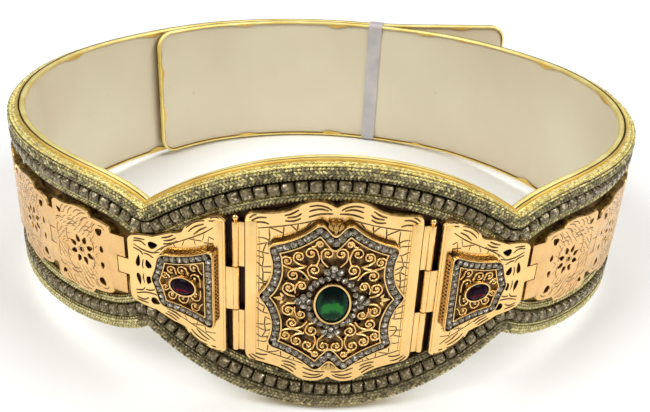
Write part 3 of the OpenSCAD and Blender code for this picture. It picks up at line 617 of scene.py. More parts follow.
def guideLine(d):
    return guide[:, :2] + d * guide[:, 2:]


def alongGuide(d, pitch, offset=0.5):  # evenly spaced places: q, z, slope
    line = guideLine(d)
    steps = runs(line)
    count = int(steps[-1] / pitch)

    def at(t):
        return [np.interp(t, steps, line[:, k]) for k in (0, 1)]

    places = []
    for i in range(count):
        t = (i + offset) * steps[-1] / count
        (x0, z0), (x1, z1) = at(t - 1.2), at(t + 1.2)
        places.append((*at(t), atan2(z1 - z0, x1 - x0)))
    return places


def braidCore(name, side, start, width, height, across):
    section = []
    for k in range(1, trims["archSteps"]):  # a low arch with a foot on each side
        a = pi * k / trims["archSteps"]
        rise = (height - trims["archInset"]) * sin(a) ** trims["archPower"]
        section.append((across(a), belt["gap"] + rise))
    foot = trims["foot"]
    section = [(start + foot, belt["gap"])] + section + [(start + width - foot, belt["gap"])]
    bm = bmesh.new()
    made = gridVerts(bm, len(guide) - 1, len(section))
    # the core is painted: the gold thread on its edge side as light, the deep thread elsewhere as shade
    # between the stitches
    for face in bm.faces:
        face.material_index = 3 if face.calc_center_median().y < -0.3 else 2
    lines = [guideLine(d) for d, h in section]
    for v, i, j in made:
        j %= len(section)
        p = lines[j][i]
        v.co = onWall(p[0], side * p[1], halfT + section[j][1])
    closeUp(bm)
    return meshOf(bm, name + "Core")


def braidPiece(side, word, ring, columns):
    # plaited stitches in columns over an arched core, each column leaning the other way
    start, width, height = (trims[ring + part] for part in ("Start", "Width", "Height"))
    name = word + ring.title() + "Braid"

    def across(a):  # the place over the arch at angle a
        return start + width / 2 * (1 - trims["spread"] * cos(a))

    core = braidCore(name, side, start, width, height, across)
    bm = bmesh.new()
    bmesh.ops.create_uvsphere(bm, u_segments=6, v_segments=4, radius=1)
    stitch = meshOf(bm, name + "Stitch")
    matrices, tones = [], []
    rng = random.Random(len(name) * 7 + side)
    size = Matrix.Diagonal((*trims["stitch"], 1))
    (low, high), uneven = trims["stitchRange"], trims["unevenness"]
    for c, shades in enumerate(columns):
        a = pi * (low + high * (c + 0.5) / len(columns))
        h = belt["gap"] + (height - trims["stitchInset"]) * sin(a) ** trims["archPower"]
        tilt = atan2(cos(a) * (height - trims["archInset"]), sin(a) * width / 2 * trims["spread"])
        lean = radians(trims["stitchLean"]) * (1 if c % 2 else -1)
        for q, z, slope in alongGuide(across(a), trims["stitchPitch"], 0.25 + 0.5 * (c % 2)):
            matrices.append(atWall(q, side * z, halfT + h) @ turnBy(-side * slope, "Y")
                            @ turnBy(side * tilt, "X")
                            @ turnBy(side * lean + rng.uniform(-uneven, uneven), "Y") @ size)
            tone = rng.choice(shades)
            pale = side < 0 and abs(q) > trims["paleFrom"]  # the lower trims are paler past the notches
            tones.append(1 if pale and tone in (0, 2) else tone)
    piece = stampCopies(name, stitch, matrices, "braidThread brightThread deepThread goldThread",
                        f"{word}_{ring}_braid", 180, tones)
    bm = bmesh.new()
    bm.from_mesh(piece.data)
    core.transform(toWorld)
    bm.from_mesh(core)
    bm.to_mesh(piece.data)
    bm.free()


# 0 plain, 1 bright, 2 deep and 3 gold thread; the gold and bright stitches towards the upper edge are painted
# light, and the deep stitches, most of them on the lower trims, painted shade
braidTones = {  # the tones of each row of stitches, from the edge inwards
    "upper": ([(3, 3, 1), (3, 3, 1), (1, 3, 0), (0, 1, 0, 2), (0, 1, 2), (0, 0, 2), (0, 2)],
              [(1, 0), (1, 1, 0), (0, 1), (0, 0, 2)]),
    "lower": ([(3, 1), (1, 3, 0), (0, 1, 2), (0, 0, 2), (0, 2), (0, 2), (0, 2, 2)],
              [(0, 2), (0, 2), (0, 1, 2), (1, 0, 0, 2)])}
for side, word in ((1, "upper"), (-1, "lower")):
    for ring, columns in zip(("outer", "inner"), braidTones[word]):
        braidPiece(side, word, ring, columns)
print("braids plaited")


def boxPart(x, y, z, middle=(0, 0, 0)):
    part = bmesh.new()
    shape = Matrix.Translation(middle) @ Matrix.Diagonal((x, y, z, 1))
    bmesh.ops.create_cube(part, size=1, matrix=shape)
    return part


def roundPart(low, high, height, segments):  # a cone or a cylinder about z
    part = bmesh.new()
    bmesh.ops.create_cone(part, cap_ends=True, segments=segments, radius1=low, radius2=high, depth=height)
    return part


def soften(part, edges, offset):
    bmesh.ops.bevel(part, geom=edges, offset=offset, segments=2, profile=0.5, affect="EDGES", material=-1)


def roundedBlock(size, low, high, corner):
    part = boxPart(size, size, high - low, (0, 0, (low + high) / 2))
    soften(part, [e for e in part.edges if abs(e.verts[0].co.z - e.verts[1].co.z) > 0.01], corner)
    part.normal_update()
    return part


def squareStone(size, height):  # a square stone in its cup, standing on z = 0 and facing +z
    bm = bmesh.new()
    cup = roundedBlock(size + 0.1, 0, height * 0.6, size * 0.2)
    cut = roundedBlock(size - 0.22, height * 0.4, height * 0.76, size * 0.18)
    for part, thickness, depth, material in ((cup, 0.16, -0.5, 1), (cut, size * 0.17, height * 0.24, 0)):
        top = [f for f in part.faces if f.normal.z > 0.9]
        bmesh.ops.inset_region(part, faces=top, thickness=thickness, depth=depth)
        joinPart(bm, part, None, material)
    for sx, sy in ((-1, -1), (-1, 1), (1, -1), (1, 1)):  # claws over the corners
        lean = turnBy(0.3 * sy, "X") @ turnBy(-0.3 * sx, "Y")
        spot = shiftBy(sx * size * 0.37, sy * size * 0.37, height * 0.7)
        joinPart(bm, roundPart(0.3, 0.2, height * 0.34, 5), spot @ lean, 1)
    return meshOf(bm, "squareStone")


def chainPiece(name, side, replaced):
    stone = squareStone(trims["stone"] * 0.97, trims["chainHeight"])
    rng = random.Random(5 + side)
    matrices = []
    for q, z, slope in alongGuide(trims["chainStart"] + trims["stone"] / 2, trims["chainPitch"]):
        matrices.append(atWall(q, side * z, halfT + belt["gap"]) @ turnBy(-side * slope, "Y")
                        @ turnBy(radians(90), "X")
                        @ turnBy(rng.uniform(-0.06, 0.06), "Z") @ turnBy(rng.uniform(-0.05, 0.05), "X"))
    stampCopies(name, stone, matrices, "chainStone cupMetal", replaced, 25)


chainPiece("upperStoneChain", 1, "upper_stone_chain")
chainPiece("lowerStoneChain", -1, "lower_stone_chain")
print("stone chains set")

# Metal plates. Figures are drawn flat, x along the band, z up and o outward from the band's
# middle, and a surface places them. Rows are x, z and the bow of the stretch to the next row.

metal = {"front": 5.4, "thickness": 1.3, "bend": 95, "edge": 0.16, "slice": 2.0, "seat": 1.8,
         "barRise": 0.4, "barSink": 0.65, "hingeAt": 30.5, "outerHingePast": 1.1,
         "knuckle": 1.35, "knuckleOut": 3.6, "knuckleHalf": 24.6, "knuckleGap": 0.3,
         "linkKnuckle": 1.1, "linkKnuckleOut": 4.3, "linkKnuckleHalf": 11, "linkTab": 3.0,
         "sideAt": 50.4, "linkAt": 87.3, "linkPitch": 29.6,
         "skirt": [(0.02, 5.28), (-0.2, 4.75), (-0.02, 4.2), (-0.22, 3.6), (-0.04, 3.0), (-0.18, 2.4),
                   (0.1, 2.1), (0.9, 2.1), (0.9, 4.3), (0.6, 5.2)]}
front, back = metal["front"], metal["front"] - metal["thickness"]
midKnuckle = (2 * metal["knuckleHalf"] - 2 * metal["knuckleGap"]) / 6
sideAt = metal["sideAt"]
outerHinge = (sideAt + metal["linkAt"]) / 2 + metal["outerHingePast"]
flipX = Matrix.Scale(-1, 4, (1, 0, 0))


def onSide(side, frameAt):  # side 1 is the right half, -1 the left one, its mirror image
    return frameAt if side > 0 else flipX @ frameAt


def centreSurface(x, z, o):
    r = metal["bend"]
    return Vector((x, -front + r - sqrt((r + o - front) ** 2 - x * x), z))


def bentSurface(at, radius, side):  # bent as the wall is at that place
    base = onSide(side, atWall(at))
    return lambda x, z, o: base @ Vector((x, radius - sqrt((radius + o) ** 2 - x * x), z))


def flatSurface(at, side=1):
    base = onSide(side, atWall(at))
    return lambda x, z, o: base @ Vector((x, -o, z))


def standOn(surface, x, z, o, turn=0.0, size=1.0):  # a frame on a surface: x, z and outward
    p = surface(x, z, o)
    ax = (surface(x + 0.01, z, o) - p).normalized()
    out = (surface(x, z, o + 0.01) - p).normalized()
    az = (surface(x, z + 0.01, o) - p).normalized()
    return (Matrix.Translation(p) @ Matrix((ax, az, out)).transposed().to_4x4()
            @ turnBy(turn, "Z") @ Matrix.Scale(size, 4))


def traceRows(rows, steps=6):  # rows of x, z and the outward bow of the stretch to the next row
    out = []
    for a, b in zip(rows, rows[1:]):
        run = Vector((b[0] - a[0], b[1] - a[1]))
        away = Vector((run.y, -run.x)).normalized()
        n = steps if a[2] else 1
        out += [Vector(a[:2]) + run * i / n + 4 * a[2] * i / n * (1 - i / n) * away for i in range(n)]
    return out + [Vector(rows[-1][:2])]


def bothHalves(top):
    return top + [Vector((p.x, -p.y)) for p in reversed(top) if p.y > 0.01]


def bothQuarters(quarter):
    return quarter + [Vector((-p.x, p.y)) for p in reversed(quarter) if p.x > 0.01]


def shrink(path, d):
    out = []
    for i, here in enumerate(path):
        a = (here - path[i - 1]).normalized()
        b = (path[(i + 1) % len(path)] - here).normalized()
        na, nb = Vector((-a.y, a.x)), Vector((-b.y, b.x))
        out.append(here + d * (na + nb) / (1 + na.dot(nb)))
    return out


def oval(width, height, count, x=0.0, z=0.0):
    return [Vector((x + width / 2 * cos(2 * pi * i / count),
                    z + height / 2 * sin(2 * pi * i / count))) for i in range(count)]


def drop(x, z, length, width, angle, count=16):
    turn = Matrix.Rotation(radians(angle), 2)
    angles = [2 * pi * i / count for i in range(count)]
    return [Vector((x, z)) + turn @ Vector((length / 2 * cos(a), width / 2 * sin(a) * (1 - 0.5 * cos(a))))
            for a in angles]


def cutSheet(bm, outlines, low, high, surface, edge=metal["edge"], cut=0.0, tones=(0, 0)):
    # a sheet with holes between two heights, with rounded edges, sliced each `cut` mm so it can bend;
    # tones are the materials of its faces and of its walls
    curve = bpy.data.curves.new("sheet", "CURVE")
    curve.dimensions, curve.fill_mode = "2D", "BOTH"
    curve.extrude, curve.bevel_depth, curve.offset = (high - low) / 2 - edge, edge, -edge
    curve.bevel_resolution = 1
    for outline in outlines:
        spline = curve.splines.new("POLY")
        spline.points.add(len(outline) - 1)
        spline.points.foreach_set("co", [c for p in outline for c in (p.x, p.y, 0, 1)])
        spline.use_cyclic_u = True
    holder = bpy.data.objects.new("sheet", curve)
    flat = bpy.data.meshes.new_from_object(holder)
    bpy.data.objects.remove(holder)
    bpy.data.curves.remove(curve)
    part = bmesh.new()
    part.from_mesh(flat)
    bpy.data.meshes.remove(flat)
    bmesh.ops.remove_doubles(part, verts=part.verts, dist=0.001)
    if cut:
        xs = [v.co.x for v in part.verts]
        for k in range(ceil(min(xs) / cut), floor(max(xs) / cut) + 1):
            geom = part.verts[:] + part.edges[:] + part.faces[:]
            bmesh.ops.bisect_plane(part, geom=geom, plane_co=(k * cut + 0.013, 0, 0), plane_no=(1, 0, 0),
                                   dist=0.0005)
    part.normal_update()
    for face in part.faces:
        face.material_index = tones[abs(face.normal.z) < 0.3]
    for v in part.verts:
        v.co = surface(v.co.x, v.co.y, (low + high) / 2 + v.co.z)
    joinPart(bm, part, None, None)


def bothWays(drops, at=0):  # drop shaped holes above and below: x, z, length, width and angle
    return [drop(x - at, s * z, length, width, s * a) for x, z, length, width, a in drops for s in (1, -1)]


def addTab(bm, frameAt, tab, low, high):  # tab: from x to x and from o to o
    x0, x1, o0, o1 = tab
    part = boxPart(x1 - x0, o1 - o0, high - low)
    soften(part, part.edges[:], 0.12)
    joinPart(bm, part, frameAt @ shiftBy((x0 + x1) / 2, -(o0 + o1) / 2, (low + high) / 2))


def addHinge(bm, side, q, kind, spans, tab):  # knuckles with rounded ends round a pin, each on a tab
    frameAt = onSide(side, atWall(q, 0, metal[kind + "Out"]))
    for low, high in spans:
        part = roundPart(metal[kind], metal[kind], high - low, 32)
        soften(part, [e for e in part.edges if abs(e.verts[0].co.z - e.verts[1].co.z) < 0.001], 0.18)
        joinPart(bm, part, frameAt @ shiftBy(0, 0, (low + high) / 2))
        addTab(bm, frameAt, tab, low, high)
    return frameAt


def addFeet(bm, surface, data):
    height = back + data["footRise"] - metal["seat"]
    for x, z in data["feet"]:
        spot = standOn(surface, x, z, metal["seat"]) @ shiftBy(0, 0, height / 2)
        joinPart(bm, roundPart(data["footRadius"], data["footRadius"], height, 16), spot)


def startPlate(outline, holes, surface, data):
    # a pierced plate with a folded edge above and below, rough on its side; skirtLift shortens the
    # folded edge towards its ends
    bm = bmesh.new()
    cutSheet(bm, [outline] + holes, back, front, surface, cut=metal["slice"], tones=(0, 2))
    top = sorted({(p.x, p.y) for p in outline if p.y > data["skirtOver"]})
    for s in (1, -1):
        def section(t):
            keep = 1 - data.get("skirtLift", 0) * (2 * t - 1) ** 2
            return [(s * d, front - (front - o) * keep) for d, o in metal["skirt"]]
        part = bmesh.new()
        sweep(part, [(x, s * z) for x, z in top], section, surface)
        closeUp(part)
        joinPart(bm, part, None, 2)
    return bm


stroke = {"ends": 0.3, "foot": 0.14, "sink": 0.02, "lift": 0.012}


def engrave(bm, lines, surface, width, burr=0.06, smooth=5):
    # tapered strokes: a dark cut (material 1) between two bright burrs (material 0)
    part = bmesh.new()
    ends, low, middle, top = stroke["ends"], front - stroke["sink"], front + stroke["lift"], front + burr

    def section(t):
        w = width / 2 * (ends + (1 - ends) * sin(pi * (0.04 + 0.92 * t)) ** 0.5)
        foot = w + stroke["foot"]
        return [(-foot, low), (-w, top), (0, middle), (w, top), (foot, low)]

    for line in lines:
        points = [Vector(p) for p in line]
        if len(points) > 2:
            path = curveThrough(points, smooth)
        else:
            path = [points[0].lerp(points[1], k / 6) for k in range(7)]
        sweep(part, path, section, surface, tones=[0, 1, 1, 0])
    out = surface(0, 0, front + 1) - surface(0, 0, front)
    part.normal_update()
    bmesh.ops.reverse_faces(part, faces=[f for f in part.faces if f.normal.dot(out) < 0])
    joinPart(bm, part, None, None, closed=False)


def finishPlate(bm, surface, cuts, name, looks, replaced):
    for lines, *sizes in cuts:
        engrave(bm, lines, surface, *sizes)
    finishPiece(bm, name, looks + " plateEdge", replaced, closed=False)


def upAndDown(lines):
    return [[(x, sz * z) for x, z in line] for line in lines for sz in (1, -1)]


def fourWays(lines):
    return [[(sx * x, sz * z) for x, z in line] for line in lines for sx in (1, -1) for sz in (1, -1)]


def webLines(rng, x0, x1, half, pitch, keep, slant=1.0):
    # an irregular net of cuts, like crazing, in a box
    columns, rows = max(1, round(abs(x1 - x0) / pitch)), max(1, round(2 * half / pitch))
    knots = {}
    for i in range(columns + 1):
        for j in range(rows + 1):
            dx = 0 if i in (0, columns) else rng.uniform(-0.3, 0.3) * pitch
            dz = rng.uniform(-0.33, 0.33) * pitch * slant
            knots[i, j] = (x0 + (x1 - x0) * i / columns + dx, -half + 2 * half * j / rows + dz)
    lines = []
    for (i, j), p in knots.items():
        for other in ((i + 1, j), (i, j + 1)):
            inner = 0 < i < columns or other[0] != i
            if other in knots and inner and rng.random() < keep:
                lines.append([p, knots[other]])
    return lines


def knuckleSpans(half, mid, gap):
    return [(-half, -mid - gap), (mid + gap, half)]


def rectangle(x0, x1, half):
    return [Vector((x1, -half)), Vector((x1, half)), Vector((x0, half)), Vector((x0, -half))]


def addBar(bm, x0, x1, half, surface):  # the raised bar beside a main hinge
    cutSheet(bm, [rectangle(x0, x1, half)], back + metal["barSink"], front + metal["barRise"], surface,
             cut=metal["slice"])


# Centre plate

centreRows = [(28, 0, 0), (28, 25.6, 0.8), (25.4, 28.3, -0.15), (17.8, 29.4, -0.5), (10.4, 33.2, 1.6),
              (0, 32.5, 0)]
centreStrokes = [
    [(1.5, 31.6), (3.1, 32.6), (5.7, 33.1), (8.4, 32.6)],
    [(2.5, 31.4), (4.6, 31.9), (6.6, 31.6), (8.4, 30.9)],
    [(1, 30.4), (3.4, 30.4), (6, 29.9), (8.5, 28.9)],
    [(11.5, 31.2), (12.9, 30.1), (14.3, 29.3), (15.8, 28.8)],
    [(10.7, 30), (12, 28.9), (13.5, 28.4), (15, 28.1)],
    [(10.8, 28.3), (12.4, 27.4), (14, 27), (15.6, 27)],
    [(24.4, 28), (25.6, 27.4), (26.7, 26.3)],
    [(21.3, 27.3), (23.3, 27.1), (24.9, 26.4), (26.2, 25.3)],
    [(20.5, 25.1), (21.9, 25.5), (23.7, 25.4), (25.2, 25)]]
centreFrame = [
    [(4.6, 28.6), (8, 27.4), (11.3, 26.4)], [(11.3, 26.4), (17, 24.9), (22, 23.7), (24.1, 23.2)]]
centreWeb = [
    [(14, 25.7), (12.9, 24.9), (11.9, 23.9)], [(11.9, 23.9), (12, 22.6)], [(11.6, 26.2), (11.8, 24.1)],
    [(20.2, 23.9), (18, 23.3), (16.1, 22.5)], [(16.1, 22.5), (16.1, 20.7)], [(15.9, 24.9), (16.1, 22.5)],
    [(20.5, 23.6), (20.3, 20.5)], [(24, 19.9), (21.7, 19.9), (19.7, 18.7)], [(7.6, 27.4), (9.2, 25.4)],
    [(20.3, 20.5), (20.8, 17.6)]]
centrePlate = {  # bars and nets run from x to x and up and down to the third number
    "bar": (24.4, 28, 25.5), "tab": (-3, -0.6, -0.5, 0.5), "skirtOver": 25.5, "skirtLift": 0.35,
    "feet": [(16, 20), (-16, 20), (16, -20), (-16, -20)], "footRadius": 2, "footRise": -1,
    "web": (24.2, 19.6, 17.4), "webPitch": 2.5, "webSlant": 1.2,
    "margin": [(23.5, -22.6), (23.7, -8), (23.5, 8), (23.6, 22.6)]}


def makeCentrePlate():
    outline = bothHalves(bothQuarters(traceRows(centreRows)))
    bm = startPlate(outline, [], centreSurface, centrePlate)
    x0, x1, half = centrePlate["bar"]
    spans = knuckleSpans(metal["knuckleHalf"], midKnuckle, metal["knuckleGap"])
    for side in (1, -1):
        addBar(bm, side * x0, side * x1, half, centreSurface)
        addHinge(bm, side, metal["hingeAt"], "knuckle", spans, centrePlate["tab"])
    addFeet(bm, flatSurface(0), centrePlate)
    rng = random.Random(11)
    web = fourWays(centreWeb)
    x0, x1, half = centrePlate["web"]
    pitch, slant = centrePlate["webPitch"], centrePlate["webSlant"]
    for side in (1, -1):
        web += webLines(rng, side * x0, side * x1, half, pitch, 0.9, slant)
    margins = [[(s * x, z) for x, z in centrePlate["margin"]] for s in (1, -1)]
    cuts = ((fourWays(centreStrokes), 0.56), (fourWays(centreFrame), 0.34), (web, 0.42, 0.05),
            (margins, 0.26, 0.04))
    finishPlate(bm, centreSurface, cuts, "centrePlate", "plateGold engravedLine",
                "center_plate")


makeCentrePlate()

# Side plates, in distance along the band

sideRows = [(67.2, 0, 0), (67.2, 10.6, 0.5), (64.8, 13, 0.25), (57.7, 14.2, 0), (51.2, 17.2, -0.2),
            (47.4, 18.4, 0), (46.4, 20.4, 0.45), (36.4, 26.2, 0.5), (33.5, 24.6, 0)]
sideHoles = [(58, 11, 3.6, 2.4, 165), (64, 3.6, 4.6, 1.5, 100), (60.2, 3.2, 3.2, 2.1, 70)]
sideStrokes = [
    [(34.6, 25.6), (36.2, 25.8), (37.6, 25.2)], [(34.4, 23.5), (36, 24.3), (38, 24.1)],
    [(39.4, 24), (41.9, 23.3), (44.2, 21.7), (45.6, 20.2)],
    [(39.6, 22.7), (42, 21.6), (43.8, 20.2), (45, 18.8)],
    [(38.7, 21.8), (40.7, 20.6), (42, 19.4), (43.2, 18.2)],
    [(50.3, 16.6), (52.4, 15.4), (54.6, 14.6)], [(49.4, 15.8), (51.2, 14.6), (53.8, 13.7)],
    [(48.8, 14.7), (51, 13.4), (54, 12.5)],
    [(60.6, 10.2), (62.6, 11.4), (65.4, 10.9)], [(60.9, 12.4), (63.2, 12.2), (65.2, 11.9)],
    [(55.6, 8.9), (58.5, 8.1), (62, 8.4), (65.4, 9.6)], [(61.9, 6.4), (62.9, 7.6), (65.6, 8.3)],
    [(58, 6.2), (59.8, 7), (61.6, 7.1)], [(62.1, 1), (62.3, 2.6), (61.9, 4.6)]]
sideFrame = [[(36.6, 21.9), (41, 18.7), (47.9, 14.9)], [(47.9, 14.9), (53.9, 11.4), (57.4, 8.6)]]
sideWeb = [[(39.6, 19.2), (40.2, 16.4)], [(43.2, 17.1), (42.6, 14.6)], [(46.4, 15.5), (47.4, 13.2)],
           [(40.2, 16.4), (44.6, 16.4)], [(50.4, 13.6), (49.6, 12.0)], [(53.4, 11.8), (55.2, 9.8)]]
sidePlate = {"bar": (33.5, 36.3, 24.4), "tab": (0.6, 3.8, 0.3, 1.3), "outerTab": (-3.4, 1.6, 0.2, 1.1),
             "skirtOver": 10.5, "feet": [(-9, 13), (-9, -13), (6.5, 6), (6.5, -6)], "footRadius": 1.8,
             "footRise": 0.6, "web": (-14.2, -10.6, 18), "webPitch": 2.4}


def alongFrom(at, o, rows):  # distance along the band becomes a width at height o
    radius = belt["frontRadius"]
    return [((r[0] - at) * (radius + o) / radius, *r[1:]) for r in rows]


def fromMiddle(lines):
    return [[(x - sideAt, z) for x, z in line] for line in lines]


def makeSidePlate(side, word):
    surface = bentSurface(sideAt, belt["frontRadius"], side)
    outline = bothHalves(traceRows(alongFrom(sideAt, front, sideRows)))
    bm = startPlate(outline, bothWays(sideHoles, sideAt), surface, sidePlate)
    x0, x1, half = sidePlate["bar"]
    addBar(bm, x0 - sideAt, x1 - sideAt, half, surface)
    addHinge(bm, side, metal["hingeAt"], "knuckle", [(-midKnuckle, midKnuckle)], sidePlate["tab"])
    tab = metal["linkTab"]
    addHinge(bm, side, outerHinge, "linkKnuckle", [(-tab, tab)], sidePlate["outerTab"])
    addFeet(bm, surface, sidePlate)
    web = webLines(random.Random(21), *sidePlate["web"], sidePlate["webPitch"], 0.8)
    web += [[(x, s * z) for x, z in line] for s in (1, -1) for line in fromMiddle(sideWeb)]
    cuts = ((fromMiddle(upAndDown(sideStrokes)), 0.52), (fromMiddle(upAndDown(sideFrame)), 0.32),
            (web, 0.28, 0.045))
    finishPlate(bm, surface, cuts, word + "SidePlate", "plateGold engravedLine",
                word + "_side_plate")


sides = ((1, "right"), (-1, "left"))
for side, word in sides:
    makeSidePlate(side, word)

# Link plates round the sides

linkRows = [(13.7, 0, 0), (13.7, 14.4, 0.4), (11.4, 16.2, -0.5), (3.6, 16.4, 0.4), (-3.8, 16.2, 0),
            (-5.2, 14.2, 0.3), (-12.1, 13.4, 0.4), (-13.7, 11.4, 0), (-13.7, 3.3, 0), (-12, 3.3, 0),
            (-12, 0, 0)]
linkStrokes = [
    [(-7.6, 12.6), (-6.4, 11.4), (-5.8, 9.8)], [(-8.8, 12.4), (-10.6, 12.2), (-11.6, 11.2)],
    [(-4.4, 13.8), (-2.2, 13), (-0.4, 11.2)], [(-3.4, 15.2), (-1, 14.6), (1, 12.8)],
    [(-1.6, 15.6), (0.8, 15.2), (2.6, 13.6)], [(2.8, 15.6), (4.6, 14.2), (5.4, 12.2)],
    [(5, 15.4), (6.6, 14.2), (7.4, 12.4)], [(7.2, 15.2), (8.4, 14.2), (9, 12.8)],
    [(-5.4, 8.4), (-3.6, 8.8), (-1.8, 8)], [(-4.8, 10.2), (-2.8, 10.2), (-1.2, 9)],
    [(2, 8.4), (4.2, 8.9), (6.4, 8)], [(1.2, 9.6), (3.6, 10.4), (6, 9.8)],
    [(-5.6, 0.8), (-5.9, 3.6), (-4.6, 6.4)], [(6.4, 1.2), (7.2, 3.8), (6.6, 6.6)],
    [(11.8, 1.4), (12, 4.2), (11.6, 7)], [(9.2, 9.6), (10.8, 9.6), (12.2, 8.8)]]
linkOutline = bothHalves(traceRows(linkRows))
linkPlate = {  # first: of the first plate on each side
    "middle": (2.3, 1.9), "petals": 8, "petalAt": 4.3, "petal": (3.0, 1.75),
    "drops": [(-8.9, 9.9, 3.3, 2.5, 140), (10.4, 12.4, 2.5, 1.6, 40), (-9.4, 3.3, 2.7, 1.5, 90)],
    "skirtOver": 11.3, "tabOut": (0.2, 1.1), "ears": (-1.5, 2.8), "firstEars": (-1.5, 5),
    "web": (1.9, 3.7), "firstWeb": (1.9, 6), "outerTab": (-2.8, 1.4), "feet": [(0, 10), (0, -10)],
    "footRadius": 1.6, "footRise": 0.6}


dashNet = {"count": 10, "from": (-7.0, 0.7), "pitch": (2.05, 1.25), "petals": (2.2, 6.6), "end": 12.4,
           "skip": 0.1, "off": [(-8.9, 9.9, 2.6), (10.4, 12.4, 2.2)], "slant": -38}


def linkDashes(rng):  # short slanted cuts like a net, off the holes
    dashes, end = [], dashNet["end"]
    (x0, z0), (dx, dz), (near, far) = dashNet["from"], dashNet["pitch"], dashNet["petals"]
    for i in range(dashNet["count"]):
        for j in range(dashNet["count"]):
            x = x0 + dx * i + j % 2 + rng.uniform(-0.25, 0.25)
            z = z0 + dz * j + rng.uniform(-0.2, 0.2)
            if near < hypot(x, z) < far or x > end or z > end or rng.random() < dashNet["skip"]:
                continue
            if any(hypot(x - px, z - pz) < r for px, pz, r in dashNet["off"]):
                continue
            a = radians(dashNet["slant"] + 12 * sin(x / 3) + rng.uniform(-8, 8))
            run = Vector((cos(a), sin(a)))
            dashes.append([(x - run.x, z - run.y), (x, z + 0.1), (x + run.x, z + run.y)])
    return dashes


def linkQ(i):
    return metal["linkAt"] + i * metal["linkPitch"]


def linkHinge(i):
    return outerHinge if i == 0 else (linkQ(i - 1) + linkQ(i)) / 2


def makeLinkPlate(side, word, i):
    surface = bentSurface(linkQ(i), belt["sideRadius"] if i else belt["frontRadius"], side)
    holes = [oval(*linkPlate["middle"], 16)]
    for k in range(linkPlate["petals"]):
        a = 360 * (k + 0.5) / linkPlate["petals"]
        at = linkPlate["petalAt"]
        holes.append(drop(at * cos(radians(a)), at * sin(radians(a)), *linkPlate["petal"], a))
    holes += bothWays(linkPlate["drops"])
    bm = startPlate(linkOutline, holes, surface, linkPlate)
    tab, tabOut = metal["linkTab"], linkPlate["tabOut"]
    ears, web = (linkPlate[key] for key in (("ears", "web") if i else ("firstEars", "firstWeb")))
    inner = addHinge(bm, side, linkHinge(i), "linkKnuckle",
                     knuckleSpans(metal["linkKnuckleHalf"], tab, metal["knuckleGap"]), ears + tabOut)
    addTab(bm, inner, web + tabOut, -tab - 0.5, tab + 0.5)
    if i < 2:
        addHinge(bm, side, linkHinge(i + 1), "linkKnuckle", [(-tab, tab)], linkPlate["outerTab"] + tabOut)
    addFeet(bm, surface, linkPlate)
    dashes = linkDashes(random.Random(31 + i))
    cuts = ((upAndDown(linkStrokes), 0.42, 0.05), (upAndDown(dashes), 0.27, 0.035, 2))
    finishPlate(bm, surface, cuts, f"{word}LinkPlate{i + 1}", "linkGold softLine",
                f"{word}_link_plate_{i + 1}")


for side, word in sides:
    for i in range(3):
        makeLinkPlate(side, word, i)
for side, word in sides:
    for pin, look in (("_hinge_pin", "plateGold"), ("_link_pins", "linkGold")):
        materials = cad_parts[word + pin].data.materials
        materials.clear()
        materials.append(finishes[look])
print("plates made")

# Medallions: a gallery wall painted in shade, a pierced sheet painted dark as the shade under the pierced
# work, bright rims, scrolls, a bezel and stones.
# Each row of scrolls is its centre, radius, the tail's points, where it joins and its turning way;
# each gap is a place and a radius. Both are for the right side, or for one quarter.

centreScrolls = [
    ((2.15, 17.7), 2, [(1.9, 12.9), (3.9, 15.2)], 0, 1),
    ((7.3, 17.6), 2.1, [(5.4, 13.4), (4.75, 15.8)], 180, -1),
    ((11, 16.1), 1.7, [(8.6, 12.8), (11.2, 13.5), (12.6, 14.8)], -10, 1),
    ((14.7, 14.2), 1.8, [(9.2, 12.4), (12.4, 11.5), (15.5, 12.3)], -30, 1),
    ((6.2, 11.6), 2.05, [(5, 8.3), (7.3, 9.3)], -20, 1),
    ((12.6, 9.2), 1.95, [(7.7, 8), (9.3, 10.1), (11.1, 11.1)], 90, -1),
    ((9.9, 5.4), 1.65, [(11.8, 2.6), (12, 4.1)], 0, 1),
    ((13.9, 4.3), 1.95, [(11.9, 1.3), (14.4, 1.8), (15.7, 3.1)], -5, 1),
    ((4.75, 21), 1.1, [(7.2, 19.9), (6.1, 20.3)], 0, 1)]
centreGaps = [(4.6, 14.6, 0.75), (9.6, 12.5, 0.8), (14.3, 11.3, 0.45), (14.9, 7.1, 0.5), (9.2, 8.4, 0.7),
              (11.2, 1.6, 0.7)]
sideScrolls = [
    ((-3.9, 3.3), 1.9, [(-5.9, 0.6), (-5.9, 2.2)], 180, -1),
    ((0.5, 5.3), 1.8, [(-1.6, 3.9), (-1.5, 5)], 170, -1),
    ((4.4, 4.8), 1.5, [(2.6, 3.6), (2.8, 4.6)], 175, -1),
    ((-3.8, 7.4), 1.6, [(-6.6, 5.6), (-5.6, 6.8)], 180, -1),
    ((6.7, 2.4), 0.9, [(5, 1.9), (5.6, 2.7)], 160, -1)]
sideGaps = [(-5.7, 1.2, 0.45), (6.3, 1.6, 0.5)]
centreMedallion = {
    "rows": [(24.1, 0, -3.2), (21.5, 19.2, -1.6), (4.4, 29, 0), (0, 23.5, 0)], "steps": 4,
    "border": 3.2, "rim": 0.5, "sheet": 6.7, "sheetTop": 7.3, "rimTop": 8.2, "bezelTop": 9.7, "bezel": 0.75,
    "stone": (10.6, 13.9), "wire": 0.78, "wireRise": 0.8, "corner": 2.8, "dip": 2.4, "turns": 1.35,
    "inner": 0.42, "scrolls": centreScrolls, "gaps": centreGaps, "ways": [(1, 1), (1, -1), (-1, 1), (-1, -1)],
    "cut": 2.0, "stoneHeights": (7.4, 8.9, 10.55), "stoneSides": 18}
